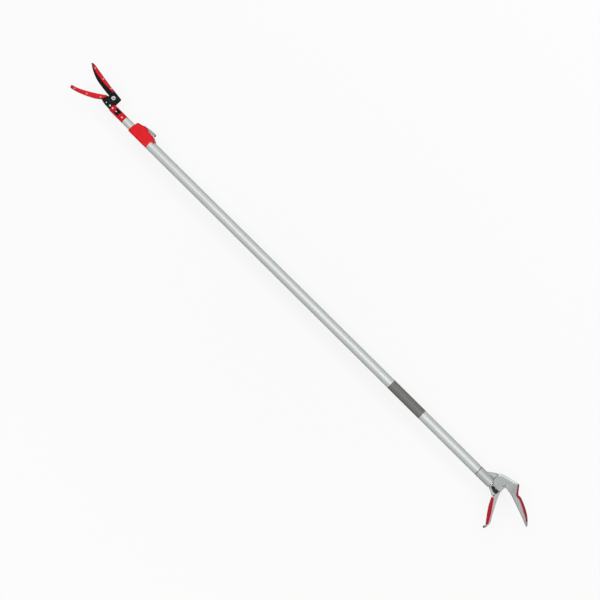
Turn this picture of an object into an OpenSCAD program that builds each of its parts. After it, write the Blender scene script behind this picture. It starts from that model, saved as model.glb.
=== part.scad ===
// Long-reach telescopic tree pruner: a cut-and-hold head on a sliding pole,
// worked by a squeeze lever through a pull rod inside the tubes.
// Sizes are in millimetres. The pole lies along X with the head at -X, the lever
// hangs towards -Y and the tool rests on the flat side that faces -Z.
// The origin is on the pole's axis, at the rear end of the outer tube.

/* [Pole] */
// Length of the outer tube
pole_length = 1118; // [900:1:1300]
// Outside diameter of the outer tube
pole_d = 25; // [24.6:0.1:25.6]
// Wall of the outer tube
pole_wall = 1.2; // [1:0.05:1.3]
// Length of the dark band round the outer tube
band_length = 103; // [60:1:140]
// Share of the outer tube's length behind the dark band
band_share = 0.1655; // [0.11:0.0005:0.23]
// Thickness of the dark band
band_t = 0.3; // [0.2:0.05:0.5]

/* [Mast] */
// Outside diameter of the inner tube
mast_d = 20; // [19.6:0.1:20.3]
// Wall of the inner tube
mast_wall = 1.2; // [1:0.05:1.4]
// Length of the inner tube
mast_length = 1075; // [900:1:1085]
// Least bare stretch of inner tube between clamp and neck when pushed in
mast_show = 25; // [16:1:60]
// Least gap between the inner tube's rear end and the spring's collar
mast_room = 30; // [20:1:60]
// Length of the guide ring on the rear end of the inner tube
guide_ring_length = 18; // [10:1:30]

/* [Clamp] */
// Length of the clamp block in front of the outer tube
clamp_length = 62; // [58:1:80]
// Half width of the clamp block and of the handle's cheeks, so both rest flat
side = 13.5; // [13.3:0.1:15]
// Depth of the clamp's spigot in the outer tube
clamp_grip = 23; // [12:1:40]
// Length of the tongue that covers the front end of the outer tube
tongue_length = 9; // [5:1:15]
// Length of the cam lever behind its pin
cam_reach = 29.5; // [24:0.5:34]
// Half width of the cam lever
cam_half = 5; // [4:0.5:6]
// Radius of the cam
cam_r = 4.6; // [4:0.1:5]
// Radius of the clamp pin
clamp_pin_r = 2; // [1.5:0.1:2.5]

/* [Head] */
// Length of the neck
neck_length = 45; // [42:1:60]
// Outside diameter of the neck
neck_d = 20; // [18.8:0.1:20.4]
// Bore of the neck
neck_bore = 14; // [13.6:0.1:14.6]
// Length of the neck's spigot in the inner tube
neck_grip = 20; // [10:1:30]
// Distance of the blade pivot ahead of the neck
pivot_ahead = 12; // [12:0.1:13]
// Reach of the cutting blade ahead of its pivot
blade_reach = 105.4; // [98:0.1:115]
// Reach of the counter blade ahead of the pivot
jaw_reach = 101.2; // [95:0.1:108]
// Thickness of each blade
blade_t = 3; // [2.4:0.1:3.2]
// Thickness of each hold plate
plate_t = 2.2; // [1.6:0.1:2.4]
// Thickness of each bracket cheek
cheek_t = 2.5; // [2:0.1:3]
// Radius of the blade pivot bolt
pivot_r = 3.5; // [3:0.1:4]

/* [Pull rod] */
// Diameter of the front rod
rod_d = 6; // [5.6:0.1:6.2]
// Outside diameter of the rear rod tube
rear_rod_d = 10; // [9.6:0.1:10.4]
// Bore of the rear rod tube
rear_rod_bore = 8; // [7.6:0.1:8.4]
// Radius of the drive pins
drive_pin_r = 2; // [1.6:0.1:2.2]
// Length of the clutch
clutch_length = 35; // [25:1:50]
// Distance from the front of the outer tube back to the clutch
clutch_setback = 33; // [20:1:60]
// Distance of the front rod's end ahead of the rear end of the inner tube
rod_setback = 30; // [20:1:60]
// Coils of the return spring
spring_coils = 9; // [6:1:11]
// Outside diameter of the return spring
spring_d = 18; // [16:0.5:20]
// Wire of the return spring
spring_wire = 2; // [1.4:0.1:2.4]
// Length of the return spring as fitted
spring_length = 55; // [50:1:70]

/* [Handle] */
// Distance of the lever pivot behind the outer tube
lever_back = 65.5; // [64.5:0.1:68]
// Height of the lever pivot and of the blade pivot above the pole's axis
pivot_rise = 19; // [18.6:0.1:19.6]
// Turn of the lever and of the blade between open and closed
swing = 38; // [34:1:38]
// Length of the collar that turns on the spigot
collar_length = 41; // [40:0.5:42]
// Radius of the swivel journal
journal_r = 10; // [9.4:0.1:10]
// Depth of the spigot in the outer tube
spigot_grip = 40; // [25:1:60]
// Reach of the rear grip behind the lever pivot
grip_reach = 107.3; // [98:0.1:118]
// Reach of the handle's cheeks ahead of the lever pivot
cheek_reach = 26.2; // [26:0.1:26.6]
// Half width of the rear grip
grip_half = 11; // [10.2:0.1:12]
// Thickness of the palm pad
palm_t = 3.8; // [2.5:0.1:4.5]
// Drop of the lever below its pivot
lever_drop = 107.2; // [98:0.1:112]
// Thickness of the lever's front pad
pad_t = 5.9; // [4:0.1:6.2]
// Half width of the lever
lever_half = 9.4; // [9:0.1:9.6]
// Half width of the yoke
yoke_half = 5; // [4.6:0.1:5.4]
// Thickness of each handle cheek
handle_cheek_t = 3.8; // [3:0.1:3.9]
// Radius of the lever pivot bolt
bolt_r = 3; // [2.6:0.1:3.2]
// Half width of the swivel lock
lock_half = 4; // [3.4:0.1:5]

/* [Fits] */
// Gap between pieces that are pressed or glued together
fit = 0.05; // [0.02:0.01:0.08]
// Radial gap of a turning or sliding fit
run = 0.1; // [0.05:0.01:0.15]
// Gap between faces that pass each other
gap = 0.3; // [0.2:0.05:0.35]

/* [Hidden] */
$fn = 64;
// Amount by which a cut runs past the face that it opens
over = 1;

// Radii and stations along the pole
pole_r = pole_d / 2;
pole_bore_r = pole_r - pole_wall;
mast_r = mast_d / 2;
mast_bore_r = mast_r - mast_wall;
pole_front = -pole_length;
band_rear = -band_share * pole_length;
clamp_front = pole_front - clamp_length;
spring_seat = -spigot_grip;
collar_face = spring_seat - spring_length;
collar_t = 5;
// Pushed in, the inner tube stops at the clamp's side or at the spring's side
mast_front = min(clamp_front - mast_show, collar_face - collar_t - mast_room - mast_length);
mast_rear = mast_front + mast_length;
neck_front = mast_front - neck_length;
neck_r = neck_d / 2;
neck_bore_r = neck_bore / 2;
head_pivot = [neck_front - pivot_ahead, pivot_rise];
lever_pivot = [lever_back, pivot_rise];

// Crank geometry: the drive pins run on the pole's axis in radial slots
half_swing = swing / 2;
pin_offset = pivot_rise * tan(half_swing);
crank_r = pivot_rise / cos(half_swing);
slot_r = drive_pin_r + gap;
crank_half = slot_r + 2.1;
crank_end = crank_r + slot_r + 2;
stroke = 2 * pin_offset;
head_pin_x = head_pivot[0] - pin_offset;
yoke_pin_x = lever_pivot[0] - pin_offset;

// Layers of the head from back to front
pass = gap / 2;
blade_z = -blade_t / 2;
tongue_t = 3;
tongue_z = blade_z - pass - tongue_t;
tongue_half = 2.4;
tongue_lap = 10;
back_cheek_z = tongue_z - pass - cheek_t;
jaw_z = blade_t / 2 + pass;
front_cheek_z = jaw_z + blade_t;
cheek_gap = [tongue_z - pass, front_cheek_z];
bracket_face = front_cheek_z + cheek_t;

// Head outlines as shares of the reach: distance ahead of the pivot, and height
blade_spine = [
    [0.085, 0.1271], [0.32, 0.1546], [0.64, 0.2068], [0.88, 0.2467], [0.96, 0.2467], [1, 0.223]
];
blade_edge = [
    [0.985, 0.2125], [0.94, 0.1831], [0.88, 0.1433], [0.72, 0.0674], [0.56, 0.0199], [0.32, -0.0161],
    [0.12, -0.0361]
];
plate_edge = [
    [0.95, 0.2049], [0.88, 0.1727], [0.72, 0.1328], [0.56, 0.1044], [0.38, 0.0873], [0.2, 0.0844],
    [0.115, 0.0797]
];
jaw_top = [[0.2, -0.0711], [0.42, -0.2164], [0.67, -0.3577], [0.83, -0.4318], [1, -0.4862]];
jaw_bottom = [
    [0.97, -0.5603], [0.83, -0.5316], [0.67, -0.4773], [0.5, -0.4032], [0.34, -0.3202], [0.204, -0.2204]
];
bracket_back = 0.1 - pivot_ahead;
bracket_top_back = bracket_back - 3.2;
neck_clear = neck_r - 0.3 - pivot_rise;
bracket_outline = [
    [9.7, 13.4], [bracket_top_back, 10.5], [bracket_top_back, neck_clear], [bracket_back, neck_clear],
    [bracket_back, -27], [4.6, -26.1], [13, -24.8], [20.6, -22.3], [13.9, -7.2], [13, -3.8]
];
jaw_root = [
    [-0.8163, 0.5102], [-0.9184, -2.2449], [0.5102, -2.449], [2.1429, -2.3061], [2.6531, -1.2245],
    [2.2449, -0.7755], [0.9184, -0.4082], [0.6122, 0.6122]
];
blade_root = [[0.5102, -0.8163], [-0.5102, 0.8163]];
blade_rivets = [[0.84, 0.1973], [0.52, 0.1537], [0.223, 0.1176]];
jaw_rivets = [[0.875, -0.5], [0.564, -0.3785], [0.262, -0.2016]];
bracket_rivet_spots = [[6.3, -19.8, 1.7], [-5.9, -18.9, 2.5]];
root_r = 9.8;
plate_rivet_r = 2.4;
rivet_shank_r = plate_rivet_r / 2;
shank_r = neck_bore_r - run;
shank_bore_r = norm([tongue_z, tongue_half]) + gap / 2;
shank_length = 7;
neck_rivet_r = 1.2;
shank_rivet_x = neck_front + 3.6;
pocket_depth = 0.6;

// Clamp stations: pin of the cam lever, and the outline of the block
cam_back = 29.4;
cam_pin = [clamp_front + cam_back, 20.9];
ear_top = cam_pin[1] + 4.1;
cam_slot_half = cam_r + 1.8;
clamp_top = cam_pin[1] + 0.1;
clamp_outline = [
    [0, -pole_r], [1.2, -4], [3, 8], [5, 19], [cam_back - 10.4, clamp_top + 1],
    [cam_back - 4.9, ear_top], [cam_back + 4, ear_top], [cam_back + cam_slot_half - 0.4, clamp_top],
    [clamp_length - 3, clamp_top], [clamp_length + tongue_length, pole_r + 0.8],
    [clamp_length + tongue_length, pole_r - 3.5], [clamp_length, pole_r - 3.5], [clamp_length, -pole_r]
];
cam_tail = [
    [-2, cam_r - 0.4], [8, 6.6], [cam_reach - 9, 7.9], [cam_reach - 3, 7.9], [cam_reach, 5.4],
    [cam_reach, 2.2], [cam_reach - 2, 0.5], [cam_slot_half - 0.6, 0.5], [2, -3]
];

// Swivel stations
washer_t = 1.6;
washer_start = gap;
collar_start = washer_start + washer_t + gap;
collar_end = collar_start + collar_length;
collar_r = pole_r;
bush_wall = 0.9;
bush_r = journal_r + run + bush_wall;
bush_start = collar_start + 11;
ring_start = collar_end + 0.5;
ring_t = 1.3;
ring_r = journal_r + 1.4;
groove_r = journal_r - 0.8;
journal_end = ring_start + ring_t + 1;
stop_x = collar_start + 5.8;
stop_r = 1.6;
stop_turn = 204;
stop_groove_r = journal_r - 1;

// Pull rod stations
rod_r = rod_d / 2;
rear_rod_r = rear_rod_d / 2;
rear_bore_r = rear_rod_bore / 2;
rod_front = neck_front;
rod_rear = mast_rear - rod_setback;
clutch_front = pole_front + clutch_setback;
clutch_r = mast_bore_r - 0.2;
clutch_seat = 10;
cap_length = 6;
rear_rod_front = clutch_front + clutch_length - clutch_seat;
rear_rod_rear = journal_end - 8;
nut_length = 7;
nut_start = neck_front + 11;
guide_length = 9;
guide_start = nut_start + nut_length + stroke + 1.4;
guide_rivet_x = guide_start + guide_length / 2;

// Yoke stations
yoke_cap_front = journal_end + 2.1;
yoke_cap_t = 2.2;
yoke_front = yoke_cap_front + yoke_cap_t;
yoke_rear = yoke_pin_x + drive_pin_r + 3;
tail_r = 2.6;
tail_head_r = 4;
tail_head_t = 2.2;
tail_plug = 12;

// The handle's cheeks, measured from the lever pivot as shares of their reach
handle_top = [[-1, 0.3244], [-0.6336, 0.5763], [-0.2672, 0.6794], [0.0992, 0.7672], [0.8314, 0.9618]];
cheek_back = [
    [0.8504, -0.1221], [0.4656, -0.1069], [0.2481, -0.1718], [0.2672, -0.7634], [0.0954, -0.7824],
    [-0.6298, -0.7634], [-0.8206, -0.5496], [-0.9542, -0.3435]
];
// The rear grip as shares of its reach: distance behind the pivot, and height
grip_back = [
    [0.163, 0.2004], [0.227, 0.2414], [0.308, 0.151], [0.385, 0.0634], [0.467, 0.0568],
    [0.643, -0.0149], [0.818, -0.124], [0.93, -0.2237]
];
grip_tip = [[0.976, -0.2721], [1, -0.3075]];
grip_front = [
    [0.958, -0.2973], [0.818, -0.246], [0.643, -0.1817], [0.467, -0.1165], [0.291, -0.0559],
    [0.203, -0.041]
];
grip_heart = [[0.163, 0.0373]];
cavity_step = collar_r + 0.6 - pivot_rise;
cavity_start = collar_end - lever_back;
cavity_floor = -2 * pivot_rise;
hub_r = 9;
cavity_top = hub_r + 2 * gap;
cavity_back = hub_r + 1.6;
cavity_front = -hub_r - 2.5;
slot_half = side - handle_cheek_t;
yoke_room = 30.2;
plate_gap = yoke_half + 0.4;
crank_z0 = plate_gap;
crank_z1 = lever_half - 0.4;
lever_bush_wall = 1;
pad_end_share = 0.62;

// The lever as shares of its drop: distance behind the pivot, and height
lever_back_edge = [
    [0.0373, -0.055], [0.0597, -0.134], [0.0849, -0.225], [0.1558, -0.388], [0.291, -0.66],
    [0.3657, -0.786], [0.3797, -0.858], [0.3759, -0.949]
];
lever_knob = [[0.3479, -1], [0.32, -0.985]];
lever_grip_edge = [
    [0.3265, -0.902], [0.291, -0.851], [0.2024, -0.731], [0.1138, -0.598], [0.0672, -0.515],
    [0.0243, -0.424], [0.0065, -0.381]
];
lever_guard = [
    [-0.0112, -0.363], [-0.0653, -0.327], [-0.1549, -0.29], [-0.1791, -0.276], [-0.1716, -0.246]
];
crank_arc = [for (a = [-125 : 5 : -85]) (yoke_room + 0.2) * [cos(a), sin(a)]];
crank_outline = concat([[-8.6, -2], [-14.6, -19]], crank_arc, [[4.2, -22], [2.6, -12], [1.2, -6], [4, 0]]);

// The swivel lock, measured from its pin
lock_pin_at = [lever_pivot[0] - cheek_reach + 1.7, pivot_rise + gap];
lock_pin_r = 1.5;
lock_hub_r = 4;
lock_lift = collar_r + 0.25;
lock_base = lock_lift - lock_pin_at[1];
lock_outline = [
    [-22.6, lock_base], [-21.8, lock_base + 1.3], [-5.4, 7], [-2.6, 7.4], [0, 4], [-2, lock_base]
];
lock_room = lock_hub_r + gap;
lock_slot = [
    [-lock_room, 30], [-lock_room, lock_base - gap], [-1, lock_base - gap],
    [-1, -lock_room], [lock_room, -lock_room], [lock_room, 30]
];
foot_x = lock_pin_at[0] - 21.6;
foot_length = 9;
foot_half = lock_half - 0.7;

function spline_point(a, b, c, d, t) =
    0.5 * (2 * b + (c - a) * t + (2 * a - 5 * b + 4 * c - d) * t * t + (3 * b - a - 3 * c + d) * t * t * t);
// A smooth curve through the points, with n steps between two of them
function smooth(p, n = 4) = [
    for (i = [0 : len(p) - 2], k = [0 : n - 1])
        spline_point(p[max(i - 1, 0)], p[i], p[i + 1], p[min(i + 2, len(p) - 1)], k / n),
    p[len(p) - 1]
];
function reversed(p) = [for (i = [len(p) - 1 : -1 : 0]) p[i]];
function side_normal(p, i) =
    let (t = p[min(i + 1, len(p) - 1)] - p[max(i - 1, 0)]) [-t[1], t[0]] / norm(t);
// The same curve moved sideways by d, to the left of its direction
function shifted(p, d) = [for (i = [0 : len(p) - 1]) p[i] + d * side_normal(p, i)];
// As above, but with only a share of d at the curve's two ends
function bowed(p, d, share) =
    let (n = len(p) - 1)
    [for (i = [0 : n]) p[i] + d * (share + (1 - share) * sin(180 * i / n)) * side_normal(p, i)];

// Curves shared by the pieces that lie against each other
grip_back_curve = smooth(grip_reach * grip_back);
pad_curve = [for (i = [4 : len(grip_back_curve) - 1]) grip_back_curve[i]];
pad_seat = shifted(pad_curve, -palm_t);
pad_first = pad_curve[0];
pad_last = pad_curve[len(pad_curve) - 1];
// Everything outside the pad's seat, up to a box round the grip
pad_cut = concat(pad_seat, [
    pad_last, pad_last + [30, 20], pad_first + [grip_reach, 30], pad_first + [0, 30], pad_first
]);
grip_edge_curve = smooth(lever_drop * lever_grip_edge);
lever_pad_seat = bowed(grip_edge_curve, -pad_t, pad_end_share);
blade_spine_curve = smooth(blade_reach * blade_spine);
blade_edge_curve = smooth(blade_reach * blade_edge);
jaw_top_curve = smooth(jaw_reach * jaw_top);
jaw_bottom_curve = smooth(jaw_reach * jaw_bottom);
blade_rivet_spots = blade_reach * blade_rivets;
jaw_rivet_spots = jaw_reach * jaw_rivets;
plate_curve = smooth(blade_reach * plate_edge);

module along_x(x) { translate([x, 0, 0]) rotate([0, 90, 0]) children(); }
module rod_x(x0, x1, r) { along_x(x0) cylinder(h = x1 - x0, r = r); }
module tube_x(x0, x1, r_out, r_in) {
    difference() {
        rod_x(x0, x1, r_out);
        rod_x(x0 - over, x1 + over, r_in);
    }
}
module pin_z(p, z0, z1, r) { translate([p[0], p[1], z0]) cylinder(h = z1 - z0, r = r); }
module slab(z0, z1) { translate([0, 0, z0]) linear_extrude(z1 - z0) children(); }
module block(low, high) { translate(low) cube(high - low); }
// Head pieces are drawn from the blade pivot with their first axis pointing ahead
module at_head() { translate([head_pivot[0], head_pivot[1], 0]) mirror([1, 0, 0]) children(); }
module at_lever() { translate([lever_pivot[0], lever_pivot[1], 0]) children(); }
module at_lock() { translate([lock_pin_at[0], lock_pin_at[1], 0]) children(); }
module at_cam() { translate([cam_pin[0], cam_pin[1], 0]) children(); }
// Radial slot for a drive pin, below a pivot at the origin
module crank_slot(z0, z1) {
    for (r = [pivot_rise, crank_r]) pin_z([0, -r], z0, z1, slot_r);
    block([-slot_r, -crank_r, z0], [slot_r, -pivot_rise, z1]);
}
// Rivet along Z with a low domed head on its front end
module rivet(p, z0, z1, r, dome) {
    ball_r = (r * r + dome * dome) / (2 * dome);
    pin_z(p, z0, z1, r);
    translate([p[0], p[1], z1]) rotate_extrude() intersection() {
        square([r, dome]);
        translate([0, dome - ball_r]) circle(ball_r);
    }
}

module pole_tube() color("silver") tube_x(pole_front, 0, pole_r, pole_bore_r);

module label_band() color("dimgray")
    tube_x(band_rear - band_length, band_rear, pole_r + band_t, pole_r + fit);

module clamp_body() color("red") difference() {
    union() {
        translate([clamp_front, 0, 0]) slab(-side, side) polygon(clamp_outline);
        rod_x(pole_front - over, pole_front + clamp_grip, pole_bore_r - fit);
    }
    rod_x(clamp_front - over, pole_front + clamp_grip + over, mast_r + run);
    tube_x(pole_front - fit, pole_front + tongue_length + over, pole_r + fit, pole_bore_r - fit);
    at_cam() block(
        [-cam_slot_half, -cam_pin[1], -cam_half - gap], [cam_slot_half, 2 * cam_r, cam_half + gap]);
    pin_z(cam_pin, -side + over, side + over, clamp_pin_r + fit);
}

module clamp_shoe() color("dimgray") difference() {
    at_cam() block(
        [gap - cam_slot_half, mast_r / 2 - cam_pin[1], -cam_half],
        [cam_slot_half - gap, -cam_r - gap, cam_half]);
    rod_x(clamp_front, pole_front, mast_r + run);
}

module clamp_pin() color("gray") pin_z(cam_pin, -side + over + fit, side - 0.5, clamp_pin_r);

module clamp_lever() color("silver") at_cam() difference() {
    union() {
        pin_z([0, 0], -cam_half, cam_half, cam_r);
        slab(-cam_half, cam_half) polygon(cam_tail);
    }
    pin_z([0, 0], -cam_half - over, cam_half + over, clamp_pin_r + run);
}

module swivel_spigot() color("gray") difference() {
    union() {
        rod_x(spring_seat, 0, pole_bore_r - fit);
        rod_x(-over, journal_end, journal_r);
    }
    rod_x(spring_seat - over, journal_end + over, rear_rod_r + run);
    tube_x(ring_start, ring_start + ring_t + 2 * fit, journal_r + over, groove_r);
    along_x(stop_x - stop_r - gap) rotate([0, 0, -stop_turn / 2]) rotate_extrude(angle = stop_turn)
        translate([stop_groove_r, 0]) square([journal_r + over - stop_groove_r, 2 * (stop_r + gap)]);
}

module seam_washer() color("dimgray")
    tube_x(washer_start, washer_start + washer_t, collar_r - 0.2, journal_r + fit);

module retaining_ring() color("gray")
    tube_x(ring_start + fit, ring_start + fit + ring_t, ring_r, groove_r + fit);

// Return spring: one wire wound round the rear rod, with straight ends
spring_r = (spring_d - spring_wire) / 2;
spring_rings = 8;
spring_sides = 6;
spring_low = collar_face + spring_wire / 2 + fit;
spring_high = spring_seat - spring_wire / 2 - fit;
function spring_point(turn) = [
    spring_low + (spring_high - spring_low) * turn / spring_coils,
    spring_r * cos(360 * turn), spring_r * sin(360 * turn)
];
function spring_ahead(turn) = [0, -sin(360 * turn), cos(360 * turn)];
spring_path = concat(
    [spring_point(0) - spring_wire * spring_ahead(0)],
    [for (i = [0 : spring_coils * spring_rings]) spring_point(i / spring_rings)],
    [spring_point(spring_coils) + spring_wire * spring_ahead(spring_coils)]
);
// Rings lie across the wire: one axis points out from the rod, the other along it
function spring_ring(i) =
    let (turn = max(0, min(spring_coils, (i - 1) / spring_rings)))
    let (out = [0, cos(360 * turn), sin(360 * turn)])
    [for (k = [0 : spring_sides - 1]) spring_path[i] + spring_wire / 2 *
        (cos(360 * k / spring_sides) * out + sin(360 * k / spring_sides) * [1, 0, 0])];
spring_gap = min([for (i = [0 : len(spring_path) - 1], j = [i + spring_rings - 2 : len(spring_path) - 1])
    if (j < len(spring_path)) norm(spring_path[i] - spring_path[j])]) - spring_wire;
echo(spring_gap_to_itself = spring_gap);

module return_spring() color("gray") {
    n = len(spring_path);
    m = spring_sides;
    points = [for (i = [0 : n - 1]) each spring_ring(i)];
    walls = [for (i = [0 : n - 2], k = [0 : m - 1]) each [
        [i * m + k, i * m + (k + 1) % m, (i + 1) * m + k],
        [i * m + (k + 1) % m, (i + 1) * m + (k + 1) % m, (i + 1) * m + k]
    ]];
    last = (n - 1) * m;
    ends = [for (k = [1 : m - 2]) each [[0, k + 1, k], [last, last + k, last + k + 1]]];
    polyhedron(points, concat(walls, ends));
}

module inner_tube() color("silver") tube_x(mast_front, mast_rear, mast_r, mast_bore_r);

module mast_guide_ring() color("white")
    tube_x(mast_rear - guide_ring_length - 2, mast_rear - 2, pole_bore_r - run, mast_r + fit);

module inner_tube_bush() color("white") difference() {
    union() {
        rod_x(mast_rear - 15, mast_rear + over, mast_bore_r - fit);
        rod_x(mast_rear + fit, mast_rear + 2, mast_r);
    }
    rod_x(mast_rear - 15 - over, mast_rear + 2 + over, rear_rod_r + gap);
}

module neck() color("red") difference() {
    union() {
        rod_x(neck_front, mast_front - fit, neck_r);
        rod_x(mast_front - over, mast_front + neck_grip, mast_bore_r - fit);
    }
    rod_x(neck_front - over, mast_front + neck_grip + over, neck_bore_r);
    for (s = [-1, 1]) pin_z([shank_rivet_x, 0], s * neck_r - 4, s * neck_r + 4, neck_rivet_r + fit);
    for (s = [-1, 1]) pin_z([guide_rivet_x, 0], s * neck_r - 4, s * neck_r + 4, neck_rivet_r + fit);
    slab(0, neck_r + over) polygon([
        [nut_start - 1, 4.5], [nut_start + 11, 4.5], [nut_start + 15, -4.5], [nut_start + 3, -4.5]
    ]);
}

module rod_guide() color("white") difference() {
    rod_x(guide_start, guide_start + guide_length, neck_bore_r - fit);
    rod_x(guide_start - over, guide_start + guide_length + over, rod_r + run);
    for (s = [-1, 1]) pin_z([guide_rivet_x, 0], s * neck_r - 5, s * neck_r + 5, neck_rivet_r + fit);
}

// Two pairs of rivets: one holds the bracket's shank, one holds the rod guide
module neck_rivets() color("silver")
    for (x = [shank_rivet_x, guide_rivet_x], turn = [0, 180])
        translate([x, 0, 0]) rotate([turn, 0, 0])
            rivet([0, 0], shank_bore_r + gap, neck_r - 0.1, neck_rivet_r, 0.5);

module head_bracket() color("#222222") difference() {
    union() {
        at_head() for (z = [back_cheek_z, front_cheek_z]) slab(z, z + cheek_t) polygon(bracket_outline);
        rod_x(neck_front - 4, neck_front + shank_length, shank_r);
    }
    block(
        [neck_front - 10, -2 * pivot_rise, cheek_gap[0]],
        [neck_front - pocket_depth, 2 * pivot_rise, cheek_gap[1]]);
    rod_x(neck_front - 10, neck_front + shank_length + over, shank_bore_r);
    for (s = [-1, 1]) pin_z([shank_rivet_x, 0], s * neck_r - 8, s * neck_r + 8, neck_rivet_r + fit);
    pin_z(head_pivot, back_cheek_z - over, bracket_face + over, pivot_r + fit);
    at_head() for (s = bracket_rivet_spots) pin_z(s, jaw_z, bracket_face + over, s[2] + fit);
}

module counter_blade() color("#2b2b2b") at_head() difference() {
    union() {
        slab(jaw_z, jaw_z + blade_t - fit) polygon(concat(jaw_top_curve, jaw_bottom_curve));
        slab(jaw_z, jaw_z + blade_t - fit) polygon(root_r * jaw_root);
        pin_z([0, 0], jaw_z, jaw_z + blade_t - fit, root_r);
    }
    pin_z([0, 0], jaw_z - over, jaw_z + blade_t + over, pivot_r + fit);
    for (s = bracket_rivet_spots) pin_z(s, jaw_z - over, jaw_z + blade_t + over, s[2] + fit);
    for (p = jaw_rivet_spots) pin_z(p, jaw_z - over, jaw_z + blade_t + over, rivet_shank_r + fit);
}

// The fixed hold plate covers the counter blade ahead of the bracket
module jaw_hold_plate() color("red") at_head() difference() {
    slab(front_cheek_z, front_cheek_z + plate_t) polygon(concat(
        [[15.4, -7.9]], [for (p = jaw_top_curve) if (p[0] > 22) p - [0.4, 0.6]],
        [for (p = jaw_bottom_curve) if (p[0] > 24) p + [0, 0.3]], [[21.8, -22.4]]));
    for (p = jaw_rivet_spots) pin_z(p, jaw_z, front_cheek_z + plate_t + over, rivet_shank_r + fit);
}

module jaw_plate_rivets() color("silver") at_head() for (p = jaw_rivet_spots) {
    pin_z(p, jaw_z + fit, front_cheek_z + plate_t + fit, rivet_shank_r);
    rivet(p, front_cheek_z + plate_t + fit, front_cheek_z + plate_t + 0.3, plate_rivet_r, 0.9);
}

module bracket_rivets() color("silver") at_head() for (s = bracket_rivet_spots)
    rivet(s, jaw_z + fit, bracket_face + 0.2, s[2], 0.7);

module pivot_bolt() color("gray") {
    pin_z(head_pivot, back_cheek_z - fit, bracket_face + 3.2, pivot_r);
    pin_z(head_pivot, back_cheek_z - 2.4, back_cheek_z - fit, pivot_r + 2);
}

module pivot_nut() color("silver") difference() {
    translate([head_pivot[0], head_pivot[1], bracket_face + fit])
        cylinder(h = 2.6, r = pivot_r + 2, $fn = 6);
    pin_z(head_pivot, front_cheek_z, bracket_face + 4, pivot_r + fit);
}

module cutting_blade() color("#2b2b2b") at_head() difference() {
    union() {
        slab(blade_z, -blade_z) polygon(concat(blade_spine_curve, blade_edge_curve, root_r * blade_root));
        pin_z([0, 0], blade_z, -blade_z, root_r);
        rotate([0, 0, half_swing]) slab(blade_z, -blade_z)
            polygon([[-root_r + 2, 0], [-crank_half, -crank_end], [crank_half, -crank_end], [root_r - 2, 0]]);
    }
    pin_z([0, 0], blade_z - over, -blade_z + over, pivot_r + run);
    rotate([0, 0, half_swing]) crank_slot(blade_z - over, -blade_z + over);
    for (p = blade_rivet_spots) pin_z(p, blade_z - over, -blade_z + over, rivet_shank_r + fit);
}

// The moving hold plate lies on the front of the blade, along its spine
module blade_hold_plate() color("red") at_head() difference() {
    slab(-blade_z + fit, -blade_z + plate_t) polygon(concat(
        [for (p = blade_spine_curve) if (p[0] > 14 && p[0] < 0.97 * blade_reach) p - [0, 0.5]], plate_curve));
    for (p = blade_rivet_spots) pin_z(p, blade_z, -blade_z + plate_t + over, rivet_shank_r + fit);
}

module blade_plate_rivets() color("silver") at_head() for (p = blade_rivet_spots) {
    pin_z(p, blade_z + fit, -blade_z + plate_t + fit, rivet_shank_r);
    rivet(p, -blade_z + plate_t + fit, -blade_z + plate_t + 0.3, plate_rivet_r, 0.6);
}

module front_rod() color("silver") rod_x(rod_front, rod_rear, rod_r);

// Flat tongue brazed to the rod's front end, behind the blade
module rod_tongue() color("gray") difference() {
    union() {
        pin_z([head_pin_x, 0], tongue_z, tongue_z + tongue_t, drive_pin_r + 2);
        block(
            [head_pin_x, -tongue_half, tongue_z], [rod_front + tongue_lap, tongue_half, tongue_z + tongue_t]);
    }
    rod_x(rod_front - fit, rod_rear, rod_r + fit);
    pin_z([head_pin_x, 0], tongue_z - over, tongue_z + tongue_t + over, drive_pin_r + fit);
}

module drive_pin() color("silver") pin_z([head_pin_x, 0], tongue_z, -blade_z, drive_pin_r);

module adjuster_nut() color("silver") difference() {
    along_x(nut_start) cylinder(h = nut_length, r = neck_bore_r - 0.8, $fn = 6);
    rod_x(nut_start - over, nut_start + nut_length + over, rod_r + fit);
}

module rear_rod_tube() color("silver") tube_x(rear_rod_front, rear_rod_rear, rear_rod_r, rear_bore_r);

module rod_clutch() color("#8a7440") difference() {
    rod_x(clutch_front, clutch_front + clutch_length, clutch_r);
    rod_x(clutch_front - over, clutch_front + clutch_length + over, rod_r + run);
    rod_x(rear_rod_front - fit, clutch_front + clutch_length + over, rear_rod_r + fit);
}

module clutch_cap() color("gray")
    tube_x(clutch_front - cap_length, clutch_front - fit, clutch_r - 0.6, rod_r + run);

module spring_collar() color("gray")
    tube_x(collar_face - collar_t, collar_face, spring_d / 2 + 0.5, rear_rod_r + fit);

// Stud on the rod's rear end, whose head turns in the yoke
module rod_tail() color("gray") {
    rod_x(rear_rod_rear - tail_plug, rear_rod_rear, rear_bore_r - fit);
    rod_x(rear_rod_rear, rear_rod_rear + 2, rear_rod_r - fit);
    rod_x(rear_rod_rear + 2, yoke_front + 2 * pass, tail_r);
    rod_x(yoke_front + pass, yoke_front + pass + tail_head_t, tail_head_r);
}

module yoke() color("gray") difference() {
    block([yoke_front, -yoke_half, -yoke_half], [yoke_rear, yoke_half, yoke_half]);
    rod_x(yoke_front - over, yoke_front + tail_head_t + 2 * pass, tail_head_r + run);
    pin_z([yoke_pin_x, 0], -yoke_half - over, yoke_half + over, drive_pin_r + fit);
}

module yoke_cap() color("dimgray") difference() {
    block([yoke_cap_front, -yoke_half, -yoke_half], [yoke_front - fit, yoke_half, yoke_half]);
    rod_x(yoke_cap_front - over, yoke_front + over, tail_r + run);
}

module yoke_pin() color("silver") pin_z([yoke_pin_x, 0], -lever_half + fit, lever_half - fit, drive_pin_r);

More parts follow.
